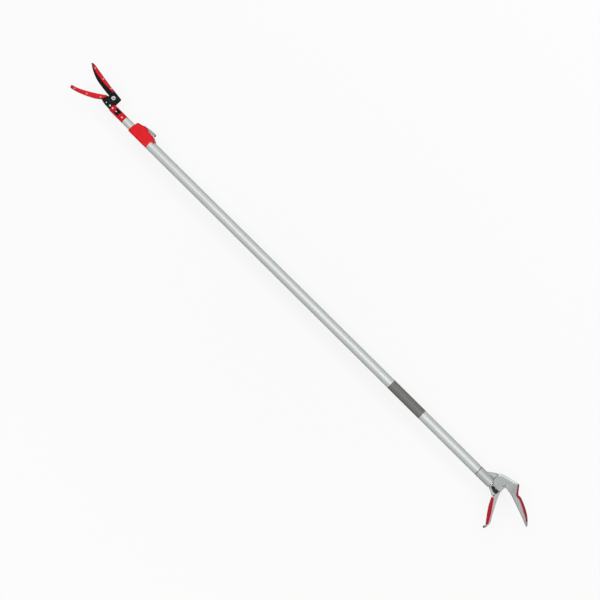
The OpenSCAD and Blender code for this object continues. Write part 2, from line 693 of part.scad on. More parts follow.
module handle_casting() color("#8f9295") difference() {
    union() {
        rod_x(collar_start, collar_end, collar_r);
        at_lever() slab(-side, side) polygon(cheek_reach * concat(smooth(handle_top), cheek_back));
        at_lever() slab(-grip_half, grip_half) polygon(concat(
            grip_back_curve, grip_reach * grip_tip, smooth(grip_reach * grip_front),
            grip_reach * grip_heart));
    }
    rod_x(collar_start - over, bush_start, journal_r + gap);
    rod_x(bush_start - fit, collar_end + over, bush_r + fit);
    rod_x(collar_end, journal_end + 2.5, ring_r + 0.6);
    at_lever() slab(-slot_half, slot_half) polygon([
        [cavity_start, cavity_floor], [cavity_start, cavity_step], [cavity_front, cavity_step],
        [cavity_front, cavity_top], [cavity_back, cavity_top], [cavity_back, cavity_floor]
    ]);
    at_lever() slab(-side - over, side + over) polygon(pad_cut);
    pin_z(lever_pivot, -side - over, side + over, bolt_r + fit);
    pin_z(lever_pivot, -side - over, -side + 2.8, bolt_r + 2.2);
    pin_z([stop_x, 0], -collar_r - over, 0, stop_r + fit);
    block(
        [foot_x - over, journal_r / 2, -foot_half - gap],
        [foot_x + foot_length + 0.6, collar_r + over, foot_half + gap]);
    at_lock() slab(-lock_half - gap, lock_half + gap) polygon(lock_slot);
    pin_z(lock_pin_at, -side + 2, side + over, lock_pin_r + fit);
}

module palm_pad() color("#7a1a1e") at_lever() slab(-grip_half, grip_half)
    polygon(concat(pad_curve, reversed(shifted(pad_curve, -palm_t + fit))));

module swivel_bush() color("white") tube_x(bush_start, collar_end - 0.5, bush_r, journal_r + run);

module lever_pivot_bolt() color("silver") {
    pin_z(lever_pivot, -side + 0.2, side + over, bolt_r);
    rivet(lever_pivot, side + fit, side + 0.8, bolt_r + 2, 0.8);
}

module lever_pivot_nut() color("silver") difference() {
    translate([lever_pivot[0], lever_pivot[1], -side + 0.2]) cylinder(h = 2.5, r = bolt_r + 2, $fn = 6);
    pin_z(lever_pivot, -side - over, 0, bolt_r + fit);
}

module swivel_stop_screw() color("gray") pin_z([stop_x, 0], -collar_r + 0.1, -stop_groove_r - 0.2, stop_r);

module lock_pin() color("silver") pin_z(lock_pin_at, -side + 2 + fit, side - 0.3, lock_pin_r);

module squeeze_lever() color("#8f9295") at_lever() difference() {
    union() {
        slab(-lever_half, lever_half) polygon(concat(
            smooth(lever_drop * lever_back_edge), lever_drop * lever_knob, lever_pad_seat,
            lever_drop * lever_guard));
    }
    pin_z([0, 0], -plate_gap, plate_gap, yoke_room);
    pin_z([0, 0], -lever_half - over, lever_half + over, hub_r + fit);
    slab(-lever_half - over, lever_half + over) polygon(crank_outline);
}

// Two dark steel plates: hub, drive slot and the seat of the cast lever
module lever_crank() color("#26282a") at_lever() difference() {
    union() for (z = [-crank_z1, crank_z0]) {
        slab(z, z + crank_z1 - crank_z0) polygon(crank_outline);
        pin_z([0, 0], z, z + crank_z1 - crank_z0, hub_r);
    }
    rotate([0, 0, -half_swing]) crank_slot(-lever_half - over, lever_half + over);
    pin_z([0, 0], -lever_half - over, lever_half + over, bolt_r + run + lever_bush_wall + fit);
}

module lever_pad() color("#d81e24") at_lever() slab(-lever_half - 0.4, lever_half + 0.4)
    polygon(concat(grip_edge_curve, reversed(bowed(grip_edge_curve, -pad_t + fit, pad_end_share))));

module lever_bushes() color("#8a7440") at_lever() for (z = [-crank_z1, crank_z0]) difference() {
    pin_z([0, 0], z, z + crank_z1 - crank_z0, bolt_r + run + lever_bush_wall);
    pin_z([0, 0], z - over, z + lever_half, bolt_r + run);
}

module swivel_lock() color("#8f9295") difference() {
    union() {
        at_lock() slab(-lock_half, lock_half) polygon(lock_outline);
        pin_z(lock_pin_at, -lock_half, lock_half, lock_hub_r);
        block([foot_x, bush_r + 0.2, -foot_half], [foot_x + foot_length, lock_lift + over, foot_half]);
    }
    pin_z(lock_pin_at, -lock_half - over, lock_half + over, lock_pin_r + run);
}

pole_tube();
label_band();
clamp_body();
clamp_shoe();
clamp_pin();
swivel_spigot();
seam_washer();
retaining_ring();
return_spring();
inner_tube();
mast_guide_ring();
inner_tube_bush();
neck();
rod_guide();
neck_rivets();
head_bracket();
counter_blade();
jaw_hold_plate();
jaw_plate_rivets();
bracket_rivets();
pivot_bolt();
pivot_nut();
cutting_blade();
blade_hold_plate();
blade_plate_rivets();
front_rod();
rod_tongue();
drive_pin();
adjuster_nut();
rear_rod_tube();
rod_clutch();
clutch_cap();
spring_collar();
rod_tail();
yoke();
yoke_cap();
yoke_pin();
handle_casting();
palm_pad();
swivel_bush();
lever_pivot_bolt();
lever_pivot_nut();
swivel_stop_screw();
lock_pin();
squeeze_lever();
lever_crank();
lever_pad();
lever_bushes();
clamp_lever();
swivel_lock();
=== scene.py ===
# %% [markdown]
# A telescopic tree pruner in Blender. The CAD model is loaded first as a fixed frame: its bodies
# carry every piece, and its boxes say where each piece sits. The cells below give the plain
# solids their real skins: drawn tubes, a cast handle, moulded rubber and ground blades.

import bmesh
import bpy
import numpy as np
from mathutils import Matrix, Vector


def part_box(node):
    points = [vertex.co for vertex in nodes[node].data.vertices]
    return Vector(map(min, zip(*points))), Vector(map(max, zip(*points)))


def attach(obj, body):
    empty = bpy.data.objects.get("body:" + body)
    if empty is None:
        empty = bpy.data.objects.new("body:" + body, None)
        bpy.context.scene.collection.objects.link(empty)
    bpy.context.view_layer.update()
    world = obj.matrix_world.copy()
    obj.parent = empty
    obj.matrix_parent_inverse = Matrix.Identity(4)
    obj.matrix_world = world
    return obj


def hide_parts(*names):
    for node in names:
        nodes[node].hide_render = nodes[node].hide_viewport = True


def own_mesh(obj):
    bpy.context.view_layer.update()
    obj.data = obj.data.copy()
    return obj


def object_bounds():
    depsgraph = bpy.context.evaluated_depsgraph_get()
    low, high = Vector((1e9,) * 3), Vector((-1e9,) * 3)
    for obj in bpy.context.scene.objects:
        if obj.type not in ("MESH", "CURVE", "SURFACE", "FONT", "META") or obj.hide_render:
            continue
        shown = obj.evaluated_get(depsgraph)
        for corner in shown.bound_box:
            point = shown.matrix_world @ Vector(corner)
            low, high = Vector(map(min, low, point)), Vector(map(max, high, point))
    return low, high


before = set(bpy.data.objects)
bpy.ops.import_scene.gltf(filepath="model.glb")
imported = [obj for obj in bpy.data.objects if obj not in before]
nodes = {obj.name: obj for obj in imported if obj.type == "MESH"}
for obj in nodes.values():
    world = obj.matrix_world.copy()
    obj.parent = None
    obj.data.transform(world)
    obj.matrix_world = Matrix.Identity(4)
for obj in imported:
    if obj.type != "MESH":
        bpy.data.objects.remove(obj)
cad_low, cad_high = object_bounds()
MM = 0.001
print("nodes", len(nodes), "size in mm", np.round((np.array(cad_high) - np.array(cad_low)) / MM, 1))

# %% [markdown]
# Finishes come first. Each one is a Principled shader whose colour, gloss and bump are moved a
# little by noise, because no real surface is one flat colour. The noise reads Object coordinates,
# which are the frame's own metres here, so a scale of 1000 has grains of about a millimetre.


# %% Noise and colours
def new_node(tree, kind, *ordered, **named):
    """Node of a kind with values for its inputs, in order or by name, where an underscore stands for a
    space. An output of another node is linked, and anything else is set."""
    node = tree.nodes.new("ShaderNode" + kind)
    by_name = [(node.inputs[name.replace("_", " ")], value) for name, value in named.items()]
    for socket, value in [*zip(node.inputs, ordered), *by_name]:
        if isinstance(value, bpy.types.NodeSocket):
            tree.links.new(value, socket)
        else:
            socket.default_value = value
    return node


def stretched_noise(tree, scale, stretch, detail):
    """Noise on Object coordinates; a stretch below one along an axis draws the grains out there."""
    place = new_node(tree, "TexCoord").outputs["Object"]
    drawn_out = new_node(tree, "Mapping", Vector=place, Scale=stretch).outputs["Vector"]
    return new_node(tree, "TexNoise", Vector=drawn_out, Scale=scale, Detail=detail).outputs["Fac"]


def colour_ramp(tree, factor, stops):
    """Colours along a factor from 0 to 1; a stop is a place and a colour or a grey."""
    node = new_node(tree, "ValToRGB", Fac=factor)
    band = node.color_ramp
    band.elements[0].position = stops[0][0]
    band.elements[1].position = stops[-1][0]
    for place, _ in stops[1:-1]:
        band.elements.new(place)
    for element, (_, value) in zip(band.elements, stops):
        element.color = (*np.broadcast_to(value, 3), 1)
    return node.outputs["Color"]


def blend(tree, factor, first, second):
    """The first colour where the factor is 0, the second where it is 1."""
    mix = new_node(tree, "Mix")
    mix.data_type = "RGBA"
    for output, place in ((factor, 0), (first, 6), (second, 7)):
        tree.links.new(output, mix.inputs[place])
    return mix.outputs[2]


print("at a scale of 1000 a grain is about", 1 / 1000 / MM, "mm")

# %% [markdown]
# A tool in use isn't one even skin. Edges rub bright where hands and twigs pass, so a finish may have a
# wear colour for sharp bends. One piece may change its finish from place to place, as a casting does
# that is machined at one end: each face or point then has a tone from 0 to 1, which leads from the main
# finish to a second one. The tone also carries painted shade and painted highlights. Towards the tips, a
# finish may turn to darker spots.

# %% Wear, dark tips and tone
FLAT, SHARP = 0.51, 0.57


def rubbed_edges(tree, colour, grain, light, wear):
    """The wear colour where the surface bends outwards, in patches that follow the grain."""
    bend = new_node(tree, "NewGeometry").outputs["Pointiness"]
    rubbed = colour_ramp(tree, bend, [(FLAT, 0.0), (SHARP, 1.0)])
    return blend(tree, rubbed, colour, colour_ramp(tree, grain, [(0.3, light), (0.6, wear)]))


def darkened_tip(tree, colour, grain, dark, tip_darkening):
    """Two places along X, in metres, and a colour: from the first place to the second the surface turns
    to darker spots of that colour."""
    first, last, spot_colour = tip_darkening
    place = new_node(tree, "SeparateXYZ", Vector=new_node(tree, "TexCoord").outputs["Object"])
    reach = new_node(tree, "MapRange", Value=place.outputs["X"], From_Min=first, From_Max=last)
    spots = colour_ramp(tree, grain, [(0.35, spot_colour), (0.8, dark)])
    return blend(tree, reach.outputs["Result"], colour, spots)


def tone_of(tree):
    """The piece's own tone, from 0 for its main finish to 1 for its second."""
    attribute = new_node(tree, "Attribute")
    attribute.attribute_name = "tone"
    return attribute.outputs["Fac"]


print("wear sets in at a pointiness of", FLAT, "and is full at", SHARP)

# %% A finish with two sizes of grain
BUMP_HEIGHT = 0.2 * MM


def grained(name, dark, light, metal, rough, coarse, fine, stretch=(1, 1, 1), spread=0.1, depth=0.2,
            spec=0.5, wear=None, second=None, tip_darkening=None):
    """Coarse noise moves the colour from dark to light; fine noise moves roughness and height. A second
    finish is two colours, a metal and a rough."""
    material = bpy.data.materials.new(name)
    material.use_nodes = True
    tree = material.node_tree
    shader = tree.nodes["Principled BSDF"]
    shader.inputs["Metallic"].default_value = metal
    shader.inputs["Specular IOR Level"].default_value = spec
    broad = stretched_noise(tree, coarse, stretch, 4)
    small = stretched_noise(tree, fine, stretch, 6)
    colour = colour_ramp(tree, broad, [(0.3, dark), (0.7, light)])
    gloss = colour_ramp(tree, small, [(0.25, max(rough - spread, 0.05)), (0.75, rough + spread)])
    if wear:
        colour = rubbed_edges(tree, colour, small, light, wear)
    if tip_darkening:
        colour = darkened_tip(tree, colour, small, dark, tip_darkening)
    if second:
        tone = tone_of(tree)
        dark_too, light_too, metal_too, rough_too = second
        colour_too = colour_ramp(tree, broad, [(0.3, dark_too), (0.7, light_too)])
        gloss_too = colour_ramp(tree, small, [(0.25, rough_too - 0.06), (0.75, rough_too + 0.06)])
        colour = blend(tree, tone, colour, colour_too)
        gloss = blend(tree, tone, gloss, gloss_too)
        if metal_too != metal:
            metals = colour_ramp(tree, tone, [(0.0, metal), (1.0, metal_too)])
            tree.links.new(metals, shader.inputs["Metallic"])
    tree.links.new(colour, shader.inputs["Base Color"])
    tree.links.new(gloss, shader.inputs["Roughness"])
    height = new_node(tree, "Bump", Height=small, Strength=depth, Distance=BUMP_HEIGHT)
    tree.links.new(height.outputs["Normal"], shader.inputs["Normal"])
    return material


print("bumps are up to", BUMP_HEIGHT / MM, "mm high")

# %% [markdown]
# Aluminium tubes are drawn through a die, which leaves fine lines along them, so their noise is
# stretched along X. Castings have a coarser skin, rubber a matt stipple, and the moulded red parts a
# smooth gloss. Red keeps almost no green and blue, or white light turns it pink. Second finishes are
# machined aluminium, which also serves as a painted highlight on top of the handle's bridge, ground
# steel, slate grey for the lever's knob and as painted shade in its pocket and towards the cam lever's
# tip, near-black painted shade inside the neck, the other red of the palm pad, and a deep red of painted
# shade along the lever pad.

# %% The finishes of the pruner
along = (0.03, 1, 1)
drawn = ((0.56, 0.59, 0.573), (0.625, 0.655, 0.638), 0.2, 0.45)
ground = ((0.40, 0.405, 0.40), (0.50, 0.505, 0.50), 0.9, 0.33)
machined_and_highlight = ((0.74, 0.79, 0.77), (0.82, 0.87, 0.85), 0.2, 0.42)
shade_black = ((0.006, 0.006, 0.007), (0.016, 0.015, 0.016), 0, 0.6)
slate = ((0.055, 0.085, 0.08), (0.10, 0.14, 0.13), 0.1, 0.5)
bright_red = ((0.56, 0.004, 0.016), (0.70, 0.008, 0.022), 0, 0.5)
shade_red = ((0.10, 0.003, 0.008), (0.17, 0.005, 0.012), 0, 0.6)
enamel = ((0.66, 0.006, 0.018), (0.82, 0.012, 0.028), 0, 0.38, 130, 1300, (1, 1, 1), 0.07, 0.12, 0.12)
# Between these places in X the hold plates turn to dark red spots towards their tips.
TIP_DARKENING = (-1.349, -1.364, (0.13, 0.008, 0.016))
finishes = {
    "tube_aluminium": grained("drawn_aluminium", *drawn, 700, 2600, along, 0.07, 0.1, spec=0.2),
    "cast_aluminium": grained(
        "cast_aluminium", (0.295, 0.31, 0.308), (0.35, 0.366, 0.364), 0.2, 0.48, 420, 1700,
        spread=0.09, depth=0.3, spec=0.25, wear=(0.60, 0.63, 0.62), second=machined_and_highlight),
    "lever_casting": grained(
        "lever_casting", (0.34, 0.354, 0.348), (0.40, 0.415, 0.408), 0.2, 0.48, 420, 1700,
        spread=0.09, depth=0.3, spec=0.25, wear=(0.62, 0.64, 0.63), second=slate),
    "red_plastic": grained(
        "moulded_red", (0.76, 0.005, 0.011), (0.86, 0.009, 0.017), 0, 0.42, 90, 2400,
        spread=0.06, depth=0.12, spec=0.12, wear=(0.90, 0.02, 0.03)),
    "red_plate": grained("red_enamel", *enamel, second=shade_black),
    "tip_darkened_plate": grained("tip_darkened_enamel", *enamel, tip_darkening=TIP_DARKENING),
    "black_steel": grained(
        "blackened_steel", (0.002, 0.0025, 0.0024), (0.007, 0.008, 0.0076), 0.1, 0.5, 260, 1800,
        spec=0.07, wear=(0.03, 0.031, 0.03), second=ground),
    "bright_steel": grained(
        "bright_steel", (0.36, 0.36, 0.355), (0.45, 0.45, 0.445), 0.85, 0.34, 900, 3200,
        spread=0.08, depth=0.1),
    "rubbed_rivet": grained(
        "rubbed_rivet", (0.50, 0.10, 0.10), (0.66, 0.36, 0.34), 0.3, 0.42, 900, 3200,
        spread=0.08, depth=0.1, spec=0.25),
    "dark_steel": grained(
        "dark_steel", (0.17, 0.175, 0.175), (0.26, 0.265, 0.265), 0.7, 0.45, 500, 2400,
        depth=0.15),
    "red_rubber": grained(
        "red_rubber", (0.54, 0.003, 0.010), (0.70, 0.005, 0.016), 0, 0.55, 220, 2800,
        depth=0.3, spec=0.15, second=shade_red),
    "maroon_rubber": grained(
        "maroon_rubber", (0.19, 0.009, 0.022), (0.29, 0.015, 0.032), 0, 0.56, 220, 2800,
        depth=0.3, spec=0.2, second=bright_red),
    "dark_band": grained(
        "dark_band", (0.155, 0.162, 0.15), (0.21, 0.217, 0.203), 0, 0.5, 420, 2600, along,
        spread=0.08, depth=0.1, spec=0.25),
    "white_nylon": grained(
        "white_nylon", (0.70, 0.69, 0.65), (0.80, 0.79, 0.75), 0, 0.42, 300, 2000,
        spread=0.08, depth=0.12),
    "bronze": grained(
        "bronze", (0.30, 0.21, 0.09), (0.44, 0.32, 0.15), 0.85, 0.36, 500, 2400,
        depth=0.15),
}
print("finishes", len(finishes))

# %% [markdown]
# Small turned and pressed parts are right as they come from the CAD model, so they keep their
# mesh and only get a finish. What lies inside the tubes is dressed too, because the tool opens
# up in use. The larger pieces get new skins further down.

# %% Dress the solids
node_finish = {
    "dark_steel": "swivel_spigot seam_washer rod_tail yoke yoke_cap spring_collar clutch_cap "
                  "pivot_bolt swivel_stop_screw clamp_shoe rod_tongue lever_pivot_bolt "
                  "lever_pivot_nut lock_pin clamp_pin",
    "rubbed_rivet": "jaw_plate_rivets blade_plate_rivets",
    "bright_steel": "retaining_ring bracket_rivets pivot_nut drive_pin yoke_pin rear_rod_tube",
    "white_nylon": "mast_guide_ring inner_tube_bush rod_guide swivel_bush",
    "bronze": "rod_clutch lever_bushes",
    "black_steel": "lever_crank front_rod",
}
for finish, names in node_finish.items():
    for name in names.split():
        nodes[name].data.materials.clear()
        nodes[name].data.materials.append(finishes[finish])
print("dressed solids", sum(len(names.split()) for names in node_finish.values()))

# %% [markdown]
# A new skin is a shell: an array of points and a list of faces, worked out in millimetres. Here
# it becomes an object whose faces point outwards. Corners sharper than an angle stay sharp, and
# weighted normals keep flat faces flat. The skin then rides on its body in place of the solid.


# %% From a shell to a piece
def linked(name, data):
    """Object with the data, linked to the scene."""
    obj = bpy.data.objects.new(name, data)
    bpy.context.scene.collection.objects.link(obj)
    return obj


def put_object(name, shell):
    """Mesh from a shell, in metres at the origin, with doubles merged and normals outwards."""
    mesh = bpy.data.meshes.new(name)
    mesh.from_pydata((np.asarray(shell[0]) * MM).tolist(), [], shell[1])
    made = bmesh.new()
    made.from_mesh(mesh)
    bmesh.ops.remove_doubles(made, verts=made.verts, dist=1e-7)
    bmesh.ops.recalc_face_normals(made, faces=made.faces)
    made.to_mesh(mesh)
    made.free()
    return linked(name, mesh)


def points_of(obj):
    """The mesh's points as one array in millimetres."""
    flat = np.empty(len(obj.data.vertices) * 3, np.float32)
    obj.data.vertices.foreach_get("co", flat)
    return flat.reshape(-1, 3) / MM


def faces_of(obj):
    """Centres in millimetres and normals of the mesh's faces, as two arrays."""
    polygons = obj.data.polygons
    centres, normals = np.empty((2, len(polygons) * 3), np.float32)
    polygons.foreach_get("center", centres)
    polygons.foreach_get("normal", normals)
    return centres.reshape(-1, 3) / MM, normals.reshape(-1, 3)


def set_tone(obj, tone, domain="FACE"):
    """Writes each face's or point's tone, from 0 for the main finish to 1 for the second."""
    layer = obj.data.attributes.new("tone", "FLOAT", domain)
    layer.data.foreach_set("value", np.asarray(tone, np.float32))


def dress(obj, finish, body, node, sharp=40, look=None):
    """Shading and finish of a new piece, the body that it rides on and the node that it replaces."""
    mesh = obj.data
    mesh.polygons.foreach_set("use_smooth", np.ones(len(mesh.polygons), bool))
    mesh.set_sharp_from_angle(angle=np.radians(sharp))
    weighted = obj.modifiers.new("flat_faces", "WEIGHTED_NORMAL")
    weighted.keep_sharp = True
    mesh.materials.clear()
    mesh.materials.append(finishes[look or finish])
    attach(obj, body)
    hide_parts(node)
    points = points_of(obj)
    box = np.round([points.min(axis=0), points.max(axis=0)], 1)
    print(obj.name, len(mesh.polygons), "faces in the box", box.tolist())


print("the plain handle has", len(points_of(nodes["handle_casting"])), "points")

# %% [markdown]
# The tubes are the longest parts and the plainest. A small profile of distance and radius is
# turned once about the pole, and both ends get the broken edge that a deburring tool leaves.
# Lengths and radii come from the solids' own boxes.


# %% Tubes and band
def grid_faces(rows, columns, ring=False):
    """Quads of a grid whose columns close on themselves, and its rows too if it is a ring."""
    r = np.arange(rows if ring else rows - 1)[:, None]
    c = np.arange(columns)[None, :]
    up, right = (r + 1) % rows, (c + 1) % columns
    corners = [r * columns + c, r * columns + right, up * columns + right, up * columns + c]
    return np.stack(np.broadcast_arrays(*corners), axis=-1).reshape(-1, 4).tolist()


def turned(profile, segments=96):
    """Closed profile of distance x and radius r: the point at angle a is x, r cos a, r sin a."""
    x, r = np.asarray(profile, float).T
    a = np.linspace(0, 2 * np.pi, segments, endpoint=False)
    grid = np.broadcast_arrays(x[:, None], r[:, None] * np.cos(a), r[:, None] * np.sin(a))
    return np.stack(grid, axis=-1).reshape(-1, 3), grid_faces(len(x), segments, ring=True)


def tube(x0, x1, outer, inner, edge=0.3):
    """Tube with broken edges at both ends."""
    return turned([
        [x0, inner + edge], [x0, outer - edge], [x0 + edge, outer], [x1 - edge, outer],
        [x1, outer - edge], [x1, inner + edge], [x1 - edge, inner], [x0 + edge, inner]])


def span(node):
    """First and last X of a node and half its height, in millimetres."""
    low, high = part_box(node)
    return low.x / MM, high.x / MM, (high.z - low.z) / 2 / MM


WALL = 1.2
pole_x0, pole_x1, pole_r = span("pole_tube")
mast_x0, mast_x1, mast_r = span("inner_tube")
band_x0, band_x1, band_r = span("label_band")
outer_tube = put_object("outer_tube", tube(pole_x0, pole_x1, pole_r, pole_r - WALL))
slim_tube = put_object("slim_tube", tube(mast_x0, mast_x1, mast_r, mast_r - WALL))
band = put_object("band", tube(band_x0, band_x1, band_r, pole_r + 0.05, 0.08))
dress(outer_tube, "tube_aluminium", "pole", "pole_tube", 30)
dress(slim_tube, "tube_aluminium", "mast", "inner_tube", 30)
dress(band, "dark_band", "pole", "label_band", 30)

# %% [markdown]
# Most other outlines are smooth curves through a few measured points. A Catmull-Rom curve passes
# through each of its points, so they can be read off a drawing. A closed outline is then taken
# at equal steps, and its corners are softened by weakening the short waves of the loop.


# %% Curves and outlines
CURVE_STEPS = 8


def smooth_curve(points, reach):
    """Cubic through the points times a reach: the slope at each is half the step between its two
    neighbours."""
    p = reach * np.asarray(points, float)
    i = np.arange(len(p) - 1)
    spots = (np.maximum(i - 1, 0), i, i + 1, np.minimum(i + 2, len(p) - 1))
    a, b, c, d = (p[k][:, None, :] for k in spots)
    t = np.linspace(0, 1, CURVE_STEPS, endpoint=False)[None, :, None]
    cubic = 2 * b + (c - a) * t + (2 * a - 5 * b + 4 * c - d) * t**2 + (3 * b - a - 3 * c + d) * t**3
    return np.vstack([cubic.reshape(-1, 2) / 2, p[-1:]])


def spaced(curve, count):
    """The open curve at equal steps of its length."""
    curve = np.asarray(curve, float)
    run = np.concatenate([[0], np.cumsum(np.linalg.norm(np.diff(curve, axis=0), axis=1))])
    at = np.linspace(0, run[-1], count)
    return np.stack([np.interp(at, run, curve[:, 0]), np.interp(at, run, curve[:, 1])], axis=1)


def shifted(curve, distance):
    """The open curve moved by a distance to the left of its direction."""
    slope = np.gradient(np.asarray(curve, float), axis=0)
    normal = np.stack([-slope[:, 1], slope[:, 0]], axis=1) / np.linalg.norm(slope, axis=1)[:, None]
    return curve + normal * np.broadcast_to(distance, len(curve))[:, None]


def soften_loop(values, width):
    """Values round a loop, blurred by a bell curve as wide as so many steps: each wave of their
    Fourier sum is weakened by a bell curve of its own."""
    waves = np.fft.fftfreq(len(values))
    return np.fft.ifft(np.fft.fft(values) * np.exp(-2 * (np.pi * width * waves) ** 2))


def outline(points, soft, step=0.8):
    """Closed outline through points, or pieces of curves, at equal steps, counter-clockwise, with its
    corners softened."""
    points = np.vstack(points)
    loop = np.vstack([points, points[:1]])
    count = int(np.linalg.norm(np.diff(loop, axis=0), axis=1).sum() / step)
    p = spaced(loop, count + 1)[:-1]
    z = soften_loop(p[:, 0] + 1j * p[:, 1], soft / step)
    z = z if np.imag(np.conj(z) * np.roll(z, -1)).sum() > 0 else z[::-1]
    return np.stack([z.real, z.imag], axis=1)


def arc(radius, first, last, count=24):
    """Points on a circle round the origin, angles in degrees."""
    a = np.radians(np.linspace(first, last, count))
    return radius * np.stack([np.cos(a), np.sin(a)], axis=1)


def distance_to(points, curve):
    """Distance of each point to the nearest point of a curve."""
    return np.linalg.norm(points[:, None, :] - curve[None], axis=2).min(axis=1)


square = outline([[0, 0], [10, 0], [10, 10], [0, 10]], 1)
print("a softened square of 10 mm is", np.ptp(square, axis=0))

# %% [markdown]
# Flat cast or pressed pieces are plates: an outline carried through the thickness. Near each face
# the rim moves inwards on a quarter ellipse, which is the rounded edge that catches the light, and
# one more ring on the flat keeps the wear of the edge off the face. The edge may change along the
# outline, so one function also grinds the blade; at tight corners it has to be smaller.


# %% Plates
def with_caps(rows, columns):
    """Grid faces and one flat face on the first and on the last row."""
    first = np.arange(columns)[::-1].tolist()
    last = (np.arange(columns) + (rows - 1) * columns).tolist()
    return grid_faces(rows, columns) + [first, last]


def fitted(rim, edge, slope=0.22):
    """The edge, or less near corners: there six tenths of the rim's radius, which is its step over its
    turn, and from there it grows along the rim by the slope."""
    step = np.roll(rim, -1, axis=0) - rim
    step = step[:, 0] + 1j * step[:, 1]
    turn = np.maximum(np.angle(step / np.roll(step, 1)), 1e-3)
    room = np.minimum(0.6 * np.abs(step) / turn, edge)
    size = np.abs(step).mean()
    shifts = range(-int(np.max(edge) / slope / size) - 1, int(np.max(edge) / slope / size) + 2)
    return np.min([np.roll(room, k) + slope * size * abs(k) for k in shifts], axis=0)


EDGE_RINGS, FLAT_RING = 6, 1.12


def plate(rim, low, high, edge, foot_edge=None, foot_lip=None):
    """At angle a from 0 to a quarter turn the rim moves in by edge times 1 - cos a, while its height
    closes in on the face as sin a, and one more ring lies on the flat. The lower face may have an edge
    and a lip of its own."""
    slope = np.roll(rim, -1, axis=0) - np.roll(rim, 1, axis=0)
    inward = np.stack([-slope[:, 1], slope[:, 0]], axis=1) / np.linalg.norm(slope, axis=1)[:, None]
    a = np.linspace(0, np.pi / 2, EDGE_RINGS)
    inset = np.append(1 - np.cos(a), FLAT_RING)[:, None]
    drop = np.append(1 - np.sin(a), 0)[:, None]

    def layers(size, lip, face, sign):
        xy = rim + inward * (np.broadcast_to(size, len(rim)) * inset)[..., None]
        return np.dstack([xy, face - sign * np.broadcast_to(lip, len(rim)) * drop])

    foot_edge = edge if foot_edge is None else foot_edge
    foot_lip = foot_edge if foot_lip is None else foot_lip
    foot = layers(foot_edge, foot_lip, low, -1)[::-1]
    grid = np.concatenate([foot, layers(edge, edge, high, 1)])
    return grid.reshape(-1, 3), with_caps(len(grid), len(rim))


print("a round plate has", len(plate(outline(arc(10, 0, 350), 0.5), 0, 3, 1)[0]), "points")

# %% [markdown]
# Rooms and holes are cut out with simple bars by the Boolean modifier. Where a casting needs fillets
# at its joins, the cut body gets a voxel skin that is then smoothed, as a mould has no sharp corner.


# %% Cutters and moulded skins
def prism(points, low, high):
    """Straight bar along Z with the given outline, used as a cutter."""
    p = np.asarray(points, float)
    grid = np.stack([np.column_stack([p, np.full(len(p), z)]) for z in (low, high)])
    return grid.reshape(-1, 3), with_caps(2, len(p))


def round_hole(radius, low, high, count=24):
    """Round bar along Z on the origin, used as a drill."""
    return prism(arc(radius, 0, 360 - 360 / count, count), low, high)


def bar(x0, x1, radius):
    """Round bar along X, used as a cutter."""
    points, faces = round_hole(radius, x0, x1, 60)
    return points[:, [2, 0, 1]], faces


def moved(shell, place):
    """Shell at a place in X and Y."""
    return shell[0] + [*place, 0], shell[1]


def settle(obj):
    """Writes what the modifiers make into the mesh and takes them off."""
    graph = bpy.context.evaluated_depsgraph_get()
    mesh = bpy.data.meshes.new_from_object(obj.evaluated_get(graph))
    obj.modifiers.clear()
    obj.data = mesh
    return obj


def carve(obj, *shells):
    """Cuts the shells out of the object one after the other."""
    for shell in shells:
        cutter = put_object("cutter", shell)
        cut = obj.modifiers.new("cut", "BOOLEAN")
        cut.operation, cut.solver, cut.object = "DIFFERENCE", "MANIFOLD", cutter
        settle(obj)
        bpy.data.objects.remove(cutter)
    return obj


def weld(obj, *others):
    """Joins other objects into the first one."""
    with bpy.context.temp_override(active_object=obj, selected_editable_objects=[obj, *others]):
        bpy.ops.object.join()
    return obj


def mould_skin(obj, voxel, rounds):
    """Voxel remesh with the given cell, then rounds of smoothing: joins and edges get fillets."""
    skin = obj.modifiers.new("skin", "REMESH")
    skin.mode, skin.voxel_size = "VOXEL", voxel * MM
    melt = obj.modifiers.new("melt", "SMOOTH")
    melt.factor, melt.iterations = 0.5, rounds
    return settle(obj)


print("a drill of 5 mm has", len(round_hole(2.5, 0, 10)[0]), "points")

# %% [markdown]
# The handle is one die casting: two cheeks with a bridge over them and a curved grip behind. It
# starts as one thick plate. A slot for the lever is cut from below, a voxel skin rounds it all as
# a mould does, and the grip is then made narrower than the cheeks by scaling its width.

# %% Outline of the handle
LEVER_PIVOT = (65.5, 19.0)
SIDE, SLOT_HALF, GRIP_HALF, PALM_T = 13.5, 9.7, 11.0, 3.8
CHEEK_REACH, GRIP_REACH, BRIDGE_END = 26.2, 107.3, (23.4, 25.5)
handle_top = smooth_curve([
    [-1, 0.3244], [-0.6336, 0.5763], [-0.2672, 0.6794], [0.0992, 0.7672],
    [0.8314, 0.9618]], CHEEK_REACH)
cheek_back = CHEEK_REACH * np.array([
    [0.4656, -0.1069], [0.2481, -0.1718], [0.2672, -0.7634], [0.0954, -0.7824], [-0.6298, -0.7634],
    [-0.8206, -0.5496], [-0.9542, -0.3435]])
palm_line = smooth_curve([
    [0.163, 0.2004], [0.227, 0.2414], [0.308, 0.151], [0.385, 0.0634], [0.467, 0.0568],
    [0.643, -0.0149], [0.824, -0.119], [0.942, -0.2225]], GRIP_REACH)[CURVE_STEPS:]
palm_seat = shifted(palm_line, -PALM_T)
grip_tip = GRIP_REACH * np.array([[0.948, -0.2265], [0.982, -0.2675], [1.003, -0.324]])
finger_line = smooth_curve([
    [0.968, -0.312], [0.818, -0.246], [0.643, -0.1817], [0.467, -0.1165], [0.291, -0.0559],
    [0.203, -0.041]], GRIP_REACH)
handle_rim = outline([
    handle_top, [BRIDGE_END], palm_seat[1:], grip_tip, finger_line, cheek_back], 0.7)
rim_x, rim_y = handle_rim.T
